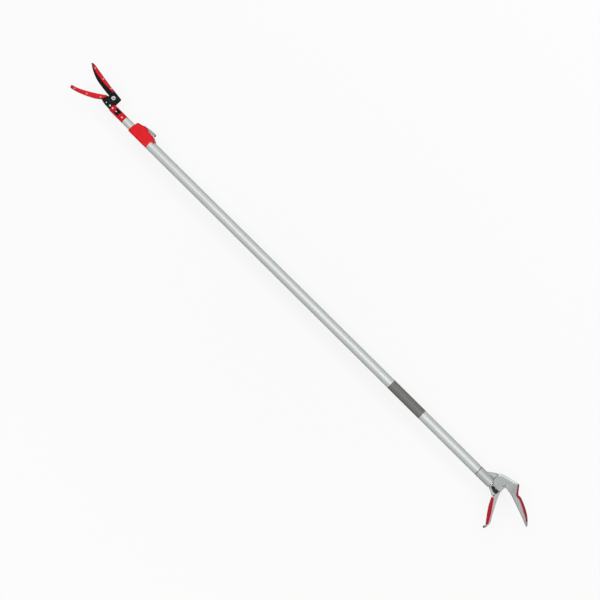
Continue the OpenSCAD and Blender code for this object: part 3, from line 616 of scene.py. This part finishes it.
handle_edge = np.interp(rim_x, [-26, 20, 34, 85, 103], [2.0, 2.2, 4.6, 3.6, 1.0])
handle_edge = np.where((rim_y > 7) & (rim_x < 19), 4.4, handle_edge)
handle_edge = np.where(distance_to(handle_rim, palm_seat) < 1.2, 0.8, handle_edge)
handle_edge = soften_loop(handle_edge, 3).real
print("handle outline", len(handle_rim), "points")


# %% Cast handle
def at_pivot(shell):
    """Shell that is drawn about the lever's pivot, put in its place."""
    return moved(shell, LEVER_PIVOT)


handle = put_object("handle_body", at_pivot(plate(handle_rim, -SIDE, SIDE, handle_edge)))
LOCK_PIN, LOCK_ROOM_HALF, COLLAR_ROOM = (41.0, 19.3), 4.3, (30, 48.5, 12.0)
lever_room = [[-22.3, -38], [10.6, -38], [10.6, 9.6], [-11.5, 9.6], [-11.5, -5.9], [-22.3, -5.9]]
lock_room = [[-4.3, -6.85], [-1, -6.85], [-1, -4.3], [4.3, -4.3], [4.3, 30], [-4.3, 30]]
carve(handle,
      at_pivot(prism(lever_room, -SLOT_HALF, SLOT_HALF)),
      bar(*COLLAR_ROOM),
      moved(prism(lock_room, -LOCK_ROOM_HALF, LOCK_ROOM_HALF), LOCK_PIN))
mould_skin(handle, 0.7, 5)
print("the cast handle has", len(handle.data.polygons), "faces")

# %% Width of the grip
TAPER_START, TAPER_RUN, TIP_START, TIP_RUN, TIP_LOSS = 14, 26, 76, 31, 0.26


def grip_taper(x):
    """Share of the cheeks' width at a distance behind the pivot: a smooth step down to the grip, and
    less again towards the tip with the square of the distance."""
    t = np.clip((x - TAPER_START) / TAPER_RUN, 0, 1)
    tip = np.clip((x - TIP_START) / TIP_RUN, 0, 1)
    return 1 - (1 - GRIP_HALF / SIDE) * t * t * (3 - 2 * t) - TIP_LOSS * tip**2


skin = points_of(handle)
skin[:, 2] *= grip_taper(skin[:, 0] - LEVER_PIVOT[0])
handle.data.vertices.foreach_set("co", (skin * MM).ravel())
widths = 2 * SIDE * grip_taper(np.array([0, 50, 107]))
print("the grip is", np.round(widths, 1), "mm wide at pivot, middle and tip")

# %% [markdown]
# The front of the casting is a collar that turns on the pole's spigot. It is machined round, so it is
# turned like the tubes and welded on. A window lets the swivel lock's foot drop in, a shallow ring
# frames the bolt, and the nut sits in a pocket on the back. The collar gets a third of the machined
# finish, and the top of the bridge, where its faces turn towards +Y and the lamp, all of it as a painted
# highlight.

# %% Collar, bolt seat and nut pocket
COLLAR_X0, COLLAR_X1, BORE_STEP = 2.2, 43.2, 13.2
FRONT_BORE, REAR_BORE, BOLT_SEAT_R, NUT_POCKET_R, MACHINED = 10.3, 11.05, 6.1, 5.3, 0.33
collar_r = pole_r
collar = put_object("collar", turned([
    [COLLAR_X0, FRONT_BORE], [COLLAR_X0, collar_r - 0.6], [COLLAR_X0 + 0.6, collar_r],
    [COLLAR_X0 + 1.8, collar_r], [COLLAR_X0 + 3, collar_r], [COLLAR_X1 - 3, collar_r],
    [COLLAR_X1 - 1.7, collar_r], [COLLAR_X1 - 0.5, collar_r], [COLLAR_X1, collar_r - 0.5],
    [COLLAR_X1, REAR_BORE], [BORE_STEP, REAR_BORE], [BORE_STEP, FRONT_BORE]]))
foot_window = [[18.4, 5], [29, 5], [29, 14], [18.4, 14]]
carve(collar, prism(foot_window, -3.6, 3.6))
carve(handle,
      at_pivot(round_hole(BOLT_SEAT_R, SIDE - 0.6, SIDE + 2, 60)),
      at_pivot(round_hole(NUT_POCKET_R, -SIDE - 2, -SIDE + 2.8, 60)))
weld(handle, collar)
at, facing = faces_of(handle)
on_collar = (np.hypot(at[:, 1], at[:, 2]) < collar_r + 0.05) & (at[:, 0] < COLLAR_X1 + 0.1)
# Faces on top of the bridge turned towards +Y get the bright second finish: a painted highlight where
# the lamp's side lights them.
painted_highlight_top = np.interp(facing[:, 1], [0.03, 0.3], [0, 1]) * (at[:, 1] > LEVER_PIVOT[1] + 5)
set_tone(handle, np.where(on_collar, MACHINED, painted_highlight_top))
dress(handle, "cast_aluminium", "handle", "handle_casting", 50)

# %% [markdown]
# Rubber pads lie on the grip and on the lever. A pad is a loft: a rounded section is carried along
# the tool, stretched each time between an outer line and an inner line that lies just under the
# casting's skin. Shallow grooves in the outer line give the fingers hold. The palm pad is brighter
# where it laps over the casting's sides.


# %% Palm pad
def loft(line_a, line_b, half, power=5, end=0.012, count=40):
    """Superellipse section, where the powers of both coordinates add up to one: its first axis spans
    from line to line, its second is half thick, and both close in at the ends as an ellipse does."""
    a = np.linspace(0, 2 * np.pi, count, endpoint=False)
    across = np.sign(np.cos(a)) * np.abs(np.cos(a)) ** (2 / power)
    thick = np.sign(np.sin(a)) * np.abs(np.sin(a)) ** (2 / power)
    t = np.linspace(-1, 1, len(line_a))
    close = np.sqrt(1 - np.clip((np.abs(t) - (1 - 2 * end)) / (2 * end), 0, 0.99) ** 2)[:, None]
    middle, reach = (line_a + line_b) / 2, (line_a - line_b) / 2
    xy = middle[:, None] + reach[:, None] * (close * across)[..., None]
    z = np.broadcast_to(half, len(line_a))[:, None] * close * thick
    return np.dstack([xy, z]).reshape(-1, 3), with_caps(len(line_a), count)


def grooves(share, count, depth):
    """Depth of cross grooves along a pad: the top of a cosine, left out near both ends."""
    wave = np.clip(np.cos(2 * np.pi * count * share) - 0.5, 0, 1) / 0.5
    return depth * wave * (np.abs(share - 0.5) < 0.45)


PAD_ROWS = 200
share = np.linspace(0, 1, PAD_ROWS)
palm = spaced(palm_line, PAD_ROWS)
palm_half = SIDE * grip_taper(palm[:, 0]) * np.interp(share, [0, 0.05, 1], [0.9, 1, 1]) + 0.35
palm_depth = PALM_T + np.interp(share, [0, 0.4, 0.75, 1], [3.3, 3.9, 5.2, 1.0])
palm_shell = loft(shifted(palm, -grooves(share, 24, 0.25)), shifted(palm, -palm_depth), palm_half)
palm_strip = put_object("palm_strip", at_pivot(palm_shell))
depth_in = distance_to(faces_of(palm_strip)[0][:, :2] - LEVER_PIVOT, palm)
set_tone(palm_strip, np.interp(depth_in, [4.4, 6.0], [0, 1]))
dress(palm_strip, "maroon_rubber", "handle", "palm_pad", 60)

# %% [markdown]
# The squeeze lever is a second casting. Its outline runs down the back edge to a small dark knob, up
# along the seat of the front pad and round a short guard. The black crank plates fill the notch in its
# head, and the yoke needs a round room between them. A small pocket lies above the pad, its inside
# painted dark as shade.


# %% Outline of the lever
LEVER_DROP, LEVER_HALF, PAD_T, PAD_ENDS = 107.2, 9.4, 5.9, 0.62


def pad_swell(share):
    """Thickness of the front pad: a share of it at both ends, and all of it in the middle, as a sine."""
    return PAD_T * (PAD_ENDS + (1 - PAD_ENDS) * np.sin(np.pi * share))


lever_back = smooth_curve([
    [0.0373, -0.055], [0.0597, -0.134], [0.0849, -0.225], [0.1558, -0.388], [0.291, -0.66],
    [0.3657, -0.786], [0.3797, -0.858], [0.3759, -0.949]], LEVER_DROP)
lever_knob = LEVER_DROP * np.array([[0.3479, -1], [0.32, -0.985]])
pad_line = smooth_curve([
    [0.3265, -0.902], [0.291, -0.851], [0.2024, -0.731], [0.1138, -0.598], [0.0672, -0.515],
    [0.0243, -0.424], [0.0065, -0.381]], LEVER_DROP)
lever_guard = LEVER_DROP * np.array([
    [-0.0112, -0.363], [-0.0653, -0.327], [-0.1549, -0.29], [-0.1791, -0.276], [-0.1716, -0.246]])
pad_seat = shifted(pad_line, -pad_swell(np.linspace(0, 1, len(pad_line))))
lever_rim = outline([lever_back, lever_knob, pad_seat, lever_guard], 0.5)
lever_edge = np.interp(lever_rim[:, 1], [-106, -98, -80], [1.0, 1.8, 2.6])
lever_edge = np.where(distance_to(lever_rim, pad_seat) < 1, 0.7, lever_edge)
lever_edge = soften_loop(lever_edge, 3).real
print("lever outline", len(lever_rim), "points")

# %% Squeeze lever
lever = put_object("lever_arm", at_pivot(plate(lever_rim, -LEVER_HALF, LEVER_HALF, lever_edge)))
YOKE_ROOM_R, YOKE_ROOM_HALF, PAST_LEVER = 30.2, 5.4, 11
crank_room = np.vstack([
    arc(9.05, -77, 195), [[-14.6, -19]], arc(30.4, -125, -85, 9), [[4.2, -22], [2.6, -12]]])
carve(lever,
      at_pivot(prism(crank_room, -PAST_LEVER, PAST_LEVER)),
      at_pivot(round_hole(YOKE_ROOM_R, -YOKE_ROOM_HALF, YOKE_ROOM_HALF, 60)))
mould_skin(lever, 0.55, 3)
POCKET, POCKET_R, POCKET_Z = np.array([1.6, -35.2]), 2.1, LEVER_HALF - 3
carve(lever,
      at_pivot(moved(round_hole(POCKET_R, POCKET_Z, PAST_LEVER), POCKET)),
      at_pivot(moved(round_hole(POCKET_R, -PAST_LEVER, -POCKET_Z), POCKET)))
KNOB_Y = LEVER_PIVOT[1] - 0.93 * LEVER_DROP
at, _ = faces_of(lever)
dark_knob = np.interp(at[:, 1], [KNOB_Y - 4, KNOB_Y + 2], [1, 0])
from_pocket = distance_to(at[:, :2] - LEVER_PIVOT, POCKET[None])
# Faces inside the pocket take the slate second finish as painted shade; the knob's faces take it too.
pocket_shade = (from_pocket < POCKET_R + 0.1) & (np.abs(at[:, 2]) < LEVER_HALF - 0.3)
set_tone(lever, np.maximum(dark_knob, pocket_shade))
dress(lever, "cast_aluminium", "lever", "squeeze_lever", 50, "lever_casting")

# %% [markdown]
# The front pad is thicker than the palm pad and swells in its middle, where two fingers pull. A line
# along the middle of its sides is painted darker as shade.

# %% Lever pad
fingers = spaced(pad_line, PAD_ROWS)
pad_depth = pad_swell(share) + 2.6 + 1.8 * np.sin(np.pi * share)
pad_top = shifted(fingers, -grooves(share, 18, 0.3))
pad_shell = loft(pad_top, shifted(fingers, -pad_depth), LEVER_HALF + 0.5)
lever_grip = put_object("lever_grip", at_pivot(pad_shell))
pad_points = points_of(lever_grip)[:, :2] - LEVER_PIVOT
from_middle = distance_to(pad_points, shifted(fingers, -pad_depth / 2))
# Points near the middle line of the sides take the deep red second finish: painted shade along that
# line.
set_tone(lever_grip, np.interp(from_middle, [0.2, 1.2], [0.8, 0]), "POINT")
dress(lever_grip, "red_rubber", "lever", "lever_pad", 60)

# %% [markdown]
# The red clamp is a moulded block on the front end of the outer tube. The inner tube slides through
# it, and a cam lever in a slot on its back presses a shoe on the tube. The block is a plate with
# generous edges, bored and slotted under a moulded skin; its plain socket is turned.

# %% Clamp block
clamp_x0 = span("clamp_body")[0]
CAM_PIN, SLIDE_R, SOCKET_R = (clamp_x0 + 29.4, 20.9), 10.1, 11.25
clamp_rim = outline([
    [1.5, -12.5], [0.2, -8], [0.6, -1], [2, 7], [5, 18.6], [19, 21.8], [24.5, 25], [33.4, 25],
    [35.4, 21], [57, 20], [69.5, 13.3], [71, 11], [70, 9], [62, 9], [62, -12.5]], 1.1)
tube_side = np.array([[62, 9], [62, 0], [62, -12], [66, 9]])
clamp_edge = np.where(distance_to(clamp_rim, tube_side) < 6, 1.5, 4.0)
clamp_shell = plate(clamp_rim, -SIDE, SIDE, soften_loop(clamp_edge, 3).real)
clamp = put_object("clamp_block", moved(clamp_shell, (clamp_x0, 0)))
cam_slot = [[-6.4, -20.9], [6.4, -20.9], [6.4, 10], [-6.4, 10]]
carve(clamp,
      bar(clamp_x0 - 5, pole_x0 + 30, SLIDE_R),
      bar(pole_x0, pole_x0 + 30, pole_r + 0.1),
      moved(prism(cam_slot, -5.3, 5.3), CAM_PIN))
socket = put_object("socket", tube(pole_x0 - 2, pole_x0 + 23, SOCKET_R, SLIDE_R, 0.2))
dress(weld(mould_skin(clamp, 0.65, 4), socket), "red_plastic", "pole", "clamp_body", 50)

# %% [markdown]
# Cam lever and swivel lock are small castings that a thumb lifts. Both are plates whose outline carries
# a few ridges: a cosine is added to it where the thumb lands. The cam lever darkens towards its tip with
# painted shade.


# %% Cam lever and swivel lock
def ridges(x, pitch, depth):
    """Cosine of the pitch along X whose crests stay on the outline."""
    return depth * np.cos(2 * np.pi * x / pitch) - depth


cam_rim = outline([
    arc(4.6, 125, 318),
    [[5.8, 0.5], [26.5, 0.5], [28.6, 2], [28.6, 4.6], [25.8, 7.2], [20, 7.4], [8, 6.4], [-2, 4.3]]],
    0.4, 0.3)
cam_x = cam_rim[:, 0]
on_thumb = (cam_rim[:, 1] > 6.2) & (cam_x > 15) & (cam_x < 25.5)
cam_rim[:, 1] += np.where(on_thumb, ridges(cam_x, 1.9, 0.35), 0)
cam = put_object("cam_lever", moved(plate(cam_rim, -5, 5, fitted(cam_rim, 0.9)), CAM_PIN))
carve(cam, moved(round_hole(2.1, -8, 8), CAM_PIN))
# Tone grows towards the cam lever's tip: painted shade in slate grey.
set_tone(cam, np.interp(faces_of(cam)[0][:, 0] - CAM_PIN[0], [6, 27], [0.1, 0.85]))
dress(cam, "cast_aluminium", "clamp_cam", "clamp_lever", look="lever_casting")

lock_rim = outline([
    [[-22.6, -6.55], [-21.8, -5.25], [-5.4, 7], [-2.6, 7.4]], arc(4, 70, -95), [[-2, -6.55]]],
    0.35, 0.3)
lock_x = lock_rim[:, 0]
on_slope = (lock_x > -19) & (lock_x < -8) & (lock_rim[:, 1] > 0.74 * lock_x + 10.2)
lock_rim[:, 1] += np.where(on_slope, ridges(lock_x, 1.8, 0.3), 0)
lock = put_object("lock_wedge", moved(plate(lock_rim, -4, 4, fitted(lock_rim, 0.8)), LOCK_PIN))
carve(lock, moved(round_hole(1.6, -8, 8), LOCK_PIN))
foot_rim = [[-21.6, -8.1], [-12.6, -8.1], [-12.6, -6], [-21.6, -6]]
foot = put_object("foot", moved(prism(foot_rim, -3.3, 3.3), LOCK_PIN))
dress(weld(lock, foot), "cast_aluminium", "swivel_latch", "swivel_lock")

# %% [markdown]
# The head is drawn from the blade's pivot with its first axis pointing ahead, so each shell is
# turned round at the end. The cutting blade is ground on its back: along the edge the lower rim of
# the plate moves in far and leaves a thin land. An arm below the pivot takes the drive pin.

# %% Outline of the cutting blade
HEAD_PIVOT = (-1262.0, 19.0)
BLADE_REACH, BLADE_Z, PIVOT_R, HALF_SWING = 105.4, 1.5, 3.55, 19
FINE_EDGE, BEVEL, LAND = 0.3, 4.5, 2.6
spine = smooth_curve([
    [0.085, 0.1271], [0.32, 0.1546], [0.64, 0.2068], [0.88, 0.2467], [0.96, 0.2467],
    [1, 0.223]], BLADE_REACH)
cutting_line = smooth_curve([
    [0.985, 0.2125], [0.94, 0.1831], [0.88, 0.1433], [0.72, 0.0674], [0.56, 0.0199], [0.32, -0.0161],
    [0.12, -0.0361]], BLADE_REACH)
blade_rim = outline([spine, cutting_line, arc(9.8, -35, -225)], 0.3, 0.6)
bevel = np.interp(blade_rim[:, 0], [14, 24, 85, 100], [FINE_EDGE, BEVEL, BEVEL, 0.4])
bevel = np.where(distance_to(blade_rim, cutting_line) < 0.8, bevel, FINE_EDGE)
bevel = fitted(blade_rim, soften_loop(bevel, 3).real)
land = np.interp(bevel, [FINE_EDGE, BEVEL], [FINE_EDGE, LAND])
print("blade outline", len(blade_rim), "points, bevel up to", round(bevel.max(), 2), "mm")


# %% Cutting blade
def at_head(shell):
    """Shell that is drawn ahead from the blade's pivot, turned round and put in its place."""
    return shell[0] * [-1, 1, 1] + [*HEAD_PIVOT, 0], shell[1]


blade_shell = plate(blade_rim, -BLADE_Z, BLADE_Z, fitted(blade_rim, FINE_EDGE), bevel, land)
blade = put_object("blade", at_head(blade_shell))
carve(blade, at_head(round_hole(PIVOT_R, -4, 4)))
lean = np.radians(HALF_SWING)
to_arm = np.array([[np.cos(lean), np.sin(lean)], [-np.sin(lean), np.cos(lean)]])
arm_rim = outline(np.array([[-7.8, -5], [-4.4, -24.4], [4.4, -24.4], [7.8, -5]]) @ to_arm, 0.6, 0.6)
arm = put_object("arm", at_head(plate(arm_rim, -BLADE_Z, BLADE_Z, FINE_EDGE)))
pin_slot = np.vstack([arc(2.3, 0, 180, 12) + [0, -19], arc(2.3, 180, 360, 12) + [0, -20.1]]) @ to_arm
carve(arm, at_head(prism(pin_slot, -4, 4)))
weld(blade, arm)
at, facing = faces_of(blade)
from_edge = distance_to((at[:, :2] - HEAD_PIVOT) * [-1, 1], cutting_line)
set_tone(blade, (from_edge < 5) & (facing[:, 2] < -0.1) & (facing[:, 2] > -0.99))
dress(blade, "black_steel", "blade", "cutting_blade", 25)

# %% [markdown]
# The counter blade is a plain hooked plate. The two red hold plates lie in front of the blades and grip
# the twig after the cut, so it doesn't fall. They are pressed from thin sheet, with a soft front edge
# and a sharp one at the back, and their tips turn to darker spots.

# %% Counter blade
JAW_REACH, JAW_Z, HOLD_Z, PLATE_T = 101.2, 1.65, 4.65, 2.2
jaw_top = smooth_curve([
    [0.2, -0.0711], [0.42, -0.2164], [0.67, -0.3577], [0.83, -0.4318], [1, -0.4862]], JAW_REACH)
jaw_bottom = smooth_curve([
    [0.97, -0.5603], [0.83, -0.5316], [0.67, -0.4773], [0.5, -0.4032], [0.34, -0.3202],
    [0.204, -0.2204]], JAW_REACH)
jaw_rim = outline([
    jaw_top, jaw_bottom, [[5, -24], [-9, -22]], arc(9.8, 190, 45), [[9, -4]]], 0.4, 0.6)
jaw = put_object("jaw", at_head(plate(jaw_rim, JAW_Z, HOLD_Z - 0.05, 0.35)))
carve(jaw, at_head(round_hole(PIVOT_R, 0, 6)))
dress(jaw, "black_steel", "mast", "counter_blade", 30)


# %% Hold plates
def hold_plate(name, rim, low, high):
    """Plate with a soft front edge and a sharp back edge."""
    return put_object(name, at_head(plate(rim, low, high, fitted(rim, 0.9), 0.2)))


blade_top = spine[(spine[:, 0] > 14) & (spine[:, 0] < 0.975 * BLADE_REACH)] - [0, 0.5]
hold_line = smooth_curve([
    [0.965, 0.206], [0.88, 0.1727], [0.72, 0.1328], [0.56, 0.1044], [0.38, 0.0873], [0.2, 0.0844],
    [0.115, 0.0797]], BLADE_REACH)
hold_rim = outline([blade_top, hold_line], 0.35, 0.5)
blade_hold = hold_plate("blade_hold", hold_rim, BLADE_Z + 0.05, BLADE_Z + PLATE_T)
dress(blade_hold, "red_plate", "blade", "blade_hold_plate", look="tip_darkened_plate")
hold_top = jaw_top[jaw_top[:, 0] > 22] - [0.3, 0.15]
hold_bottom = jaw_bottom[jaw_bottom[:, 0] > 24] + [0, 0.3]
hold_rim = outline([[[15.4, -7.9]], hold_top, hold_bottom, [[21.8, -22.4]]], 0.5, 0.5)
jaw_hold = hold_plate("jaw_hold", hold_rim, HOLD_Z, HOLD_Z + PLATE_T)
dress(jaw_hold, "red_plate", "mast", "jaw_hold_plate", look="tip_darkened_plate")

# %% [markdown]
# The black bracket holds both blades between two pressed cheeks and ends in a round shank that is
# riveted into the neck. Cheeks are plates; the shank is turned.

# %% Head bracket
NECK_X0, CHEEK_T, BACK_Z = -1250.0, 2.5, -7.3
bracket_rim = outline([
    [9.7, 13.4], [-12.6, 10.6], [-13, 4], [-12.6, -9.2], [-11.9, -9.3], [-11.9, -27], [4.6, -26.1],
    [13, -24.8], [20.6, -22.3], [13.9, -7.2], [13, -3.8]], 0.6, 0.5)
cheek_edge = fitted(bracket_rim, 0.6)
cheeks = []
for name, low in (("bracket", HOLD_Z), ("back_cheek", BACK_Z)):
    cheek = put_object(name, at_head(plate(bracket_rim, low, low + CHEEK_T, cheek_edge)))
    cheeks.append(carve(cheek, at_head(round_hole(PIVOT_R, low - 2, low + CHEEK_T + 2))))
shank = put_object("shank", turned([
    [NECK_X0 - 0.5, 5.4], [NECK_X0 - 0.5, 6.7], [NECK_X0 + 6.5, 6.9], [NECK_X0 + 7, 6.4],
    [NECK_X0 + 7, 5.4]]))
dress(weld(*cheeks, shank), "black_steel", "mast", "head_bracket", 30)

# %% [markdown]
# The red neck is a sleeve between head and inner tube, with painted shade inside its bore. A window
# shows the nut that sets the rod's length. Rivets with domed heads hold the bracket's shank and the
# rod's guide.


# %% Neck and its rivets
def domed(r, base, top, rise, count=32):
    """Round head on Z: straight from base to top, then at angle a its radius is r cos a and its
    height top plus rise sin a."""
    a = np.linspace(0, 0.48 * np.pi, 7)
    profile_r = np.concatenate([[r], r * np.cos(a)])
    profile_z = np.concatenate([[base], top + rise * np.sin(a)])
    ring = arc(1, 0, 360 - 360 / count, count)
    xy = profile_r[:, None, None] * ring[None]
    z = np.broadcast_to(profile_z[:, None], xy.shape[:2])
    return np.dstack([xy, z]).reshape(-1, 3), with_caps(len(profile_r), count)


NECK_X1, SLEEVE = mast_x0 - 0.05, 20
NECK_R, NECK_BORE, NECK_GRIP_R = 10.0, 7.0, 8.75
neck = put_object("neck_sleeve", turned([
    [NECK_X0, NECK_BORE], [NECK_X0, NECK_R - 0.5], [NECK_X0 + 0.5, NECK_R], [NECK_X1 - 0.4, NECK_R],
    [NECK_X1, NECK_R - 0.4], [NECK_X1, NECK_GRIP_R], [NECK_X1 + SLEEVE, NECK_GRIP_R],
    [NECK_X1 + SLEEVE, NECK_BORE]]))
window = outline([[-1239.5, 11], [-1222, 11], [-1224, -5.2], [-1236.5, -5.2]], 0.6, 0.4)
carve(neck, prism(window, 0, 12))
at, _ = faces_of(neck)
# Faces inside the bore take the near-black second finish: painted shade in the hollow.
set_tone(neck, np.interp(np.hypot(at[:, 1], at[:, 2]), [8.3, 9.2], [1, 0]))
dress(neck, "red_plate", "mast", "neck", 30)
RIVET_X, RIVET = (-1246.4, -1213.0), (2.3, 7.6, 9.9, 0.8)
heads = [moved(domed(*RIVET), (x, 0)) for x in RIVET_X]
rivets = [put_object("neck_rivet", (points * [1, 1, side], faces))
          for points, faces in heads for side in (1, -1)]
rivets[0].name = "neck_rivet_heads"
dress(weld(*rivets), "bright_steel", "mast", "neck_rivets")

# %% [markdown]
# The nut that sets the rod's length is blackened too, with corners broken as on a turned nut. A
# bright set screw keeps it from working loose; it is the light spot in the window.

# %% Rod nut
ROD_R, SET_SCREW = 3.0, (1.9, 4.0, 5.6, 0.8)
nut_x0, nut_x1, nut_z = span("adjuster_nut")
nut_low, nut_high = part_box("adjuster_nut")
nut_y = (nut_high.y - nut_low.y) / 2 / MM
nut_middle = (nut_x0 + nut_x1) / 2
first_corner = 0 if nut_y > nut_z else 30
nut_rim = outline(arc(max(nut_y, nut_z), first_corner, first_corner + 300, 6), 0.15, 0.3)
points, faces = plate(nut_rim, nut_x0, nut_x1, fitted(nut_rim, 0.7))
nut = put_object("rod_nut", (points[:, [2, 0, 1]], faces))
carve(nut, bar(nut_x0 - 2, nut_x1 + 2, ROD_R + 0.05))
screw = put_object("screw", moved(domed(*SET_SCREW), (nut_middle, 0)))
weld(nut, screw)
at, _ = faces_of(nut)
set_tone(nut, (np.hypot(at[:, 0] - nut_middle, at[:, 1]) < 2) & (at[:, 2] > 3.5))
dress(nut, "black_steel", "front_pull_rod", "adjuster_nut", 30)

# %% [markdown]
# The return spring sits round the pull rod inside the outer tube. It is a round wire on a helix: the
# section is carried along the path, with one axis pointing out from the rod and the other along it.
# When the lever is squeezed the rod's collar shortens it.

# %% Return spring
spring_x0, spring_x1, _ = span("return_spring")
WIRE, COILS, SPRING_R, STROKE = 2.0, 9, 8.0, 13.1
turn = np.linspace(-0.25, COILS + 0.25, 381)[:, None]
a = np.linspace(0, 2 * np.pi, 14, endpoint=False)[None, :]
pitch = (spring_x1 - spring_x0 - WIRE) / COILS
wire_r = SPRING_R + WIRE / 2 * np.cos(a)
wire_x = spring_x0 + WIRE / 2 + pitch * np.clip(turn, 0, COILS) + WIRE / 2 * np.sin(a)
wire = np.stack([wire_x, wire_r * np.cos(2 * np.pi * turn), wire_r * np.sin(2 * np.pi * turn)], axis=-1)
spring = put_object("spring_coil", (wire.reshape(-1, 3), with_caps(*wire.shape[:2])))
dress(spring, "bright_steel", "pole", "return_spring", 60)
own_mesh(spring)

# %% [markdown]
# The camera stands about 3.4 m above the tool with a long lens and is turned so that the pole runs
# from corner to corner. Its place was fitted to points of the tool whose place in the picture is known.

# %% Camera
lens = bpy.data.cameras.new("camera")
lens.sensor_width = 36
lens.lens = 85.53
lens.clip_end = 50
camera = linked("camera", lens)
camera.location = (-0.2112, 0.0161, 3.4127)
camera.rotation_euler = np.radians((4.0953, 4.7566, 44.9))
bpy.context.scene.camera = camera
print("camera", np.round(camera.location, 3))

# %% [markdown]
# The tool is shown over a white floor, a hand's breadth below it, so that the handle can turn on the
# pole without cutting into the ground: its reach to the side is the depth that it needs. The floor is
# diffuse and takes the shadow. For rays from the camera and from reflections most of it glows plain
# white, least near the tool, so the ground stays white and the shadow faint.


# %% Floor
def seen_directly(tree):
    """1 for rays from the camera, a reflection or through glass, else 0: the largest of the three."""
    path = new_node(tree, "LightPath")
    seen = path.outputs["Is Camera Ray"]
    for ray in ("Is Glossy Ray", "Is Transmission Ray"):
        either = new_node(tree, "Math", seen, path.outputs[ray])
        either.operation = "MAXIMUM"
        seen = either.outputs[0]
    return seen


def mixed(tree, factor, first, second):
    """The first shader where the factor is 0, the second where it is 1."""
    return new_node(tree, "MixShader", factor, first, second).outputs[0]


def paint(tree, grey):
    """Diffuse paint of one grey."""
    return new_node(tree, "BsdfDiffuse", Color=(grey, grey, grey, 1)).outputs[0]


FLOOR_HALF, SHADOW_REACH, PAINT_SHARE = 40, (2.2, 1.4, 1), (0.04, 0.2)
PAINT_SEEN, PAINT_LIT = 0.9, 0.35
floor_z = min(cad_low.y, cad_low.z) - 0.002
corners = FLOOR_HALF * np.array([[-1, -1], [1, -1], [1, 1], [-1, 1]])
floor_mesh = bpy.data.meshes.new("floor")
floor_mesh.from_pydata(np.column_stack([corners, np.full(4, floor_z)]).tolist(), [], [(0, 1, 2, 3)])
floor = linked("floor", floor_mesh)
print("floor at", round(floor_z / MM, 2), "mm")

# %% White paint
white = bpy.data.materials.new("white_floor")
white.use_nodes = True
tree = white.node_tree
tree.nodes.clear()
glow = new_node(tree, "Emission", Strength=1.0)
below_tool = ((cad_low.x + cad_high.x) / 2, 0, floor_z)
place = new_node(tree, "TexCoord").outputs["Object"]
spot = new_node(tree, "Mapping", Vector=place, Location=below_tool, Scale=SHADOW_REACH)
spot.vector_type = "TEXTURE"
fade = new_node(tree, "TexGradient", Vector=spot.outputs["Vector"])
fade.gradient_type = "SPHERICAL"
least, most = PAINT_SHARE
painted = new_node(tree, "MapRange", Value=fade.outputs["Fac"], To_Min=least, To_Max=most)
seen_floor = mixed(tree, painted.outputs["Result"], glow.outputs[0], paint(tree, PAINT_SEEN))
floor_look = mixed(tree, seen_directly(tree), paint(tree, PAINT_LIT), seen_floor)
new_node(tree, "OutputMaterial", Surface=floor_look)
floor_mesh.materials.append(white)
print("share of paint from", least, "to", most)

# %% [markdown]
# One wide soft lamp hangs overhead, a little to the back of the tool, so that round tubes are light
# in the middle and darken towards both edges. A dim sky, darker at the horizon, fills the shadows.
# The camera and reflections see a plain white backdrop in its place.

# %% Light
world = bpy.data.worlds.new("studio")
bpy.context.scene.world = world
world.use_nodes = True
tree = world.node_tree
sky = tree.nodes["Background"]
direction = new_node(tree, "TexCoord").outputs["Generated"]
split = new_node(tree, "SeparateXYZ", Vector=direction)
heaven = colour_ramp(tree, split.outputs["Z"], [(0.0, 0.02), (0.5, 0.11), (1.0, 0.4)])
tree.links.new(heaven, sky.inputs["Color"])
backdrop = new_node(tree, "Background", Color=(0.96, 0.96, 0.96, 1))
shown = mixed(tree, seen_directly(tree), sky.outputs[0], backdrop.outputs[0])
tree.links.new(shown, tree.nodes["World Output"].inputs["Surface"])

LAMP_SIZE, LAMP_WATTS = 3.2, 140
lamp_place, lamp_target = Vector((-0.6, 0.5, 4.2)), Vector((-0.6, 0, 0))
lamp = bpy.data.lights.new("softbox", "AREA")
lamp.shape, lamp.size, lamp.energy = "SQUARE", LAMP_SIZE, LAMP_WATTS
softbox = linked("softbox", lamp)
softbox.location = lamp_place
softbox.rotation_euler = (lamp_target - lamp_place).to_track_quat("-Z", "Y").to_euler()
bpy.context.scene.view_settings.view_transform = "Standard"
print("lamps", len(bpy.data.lights))
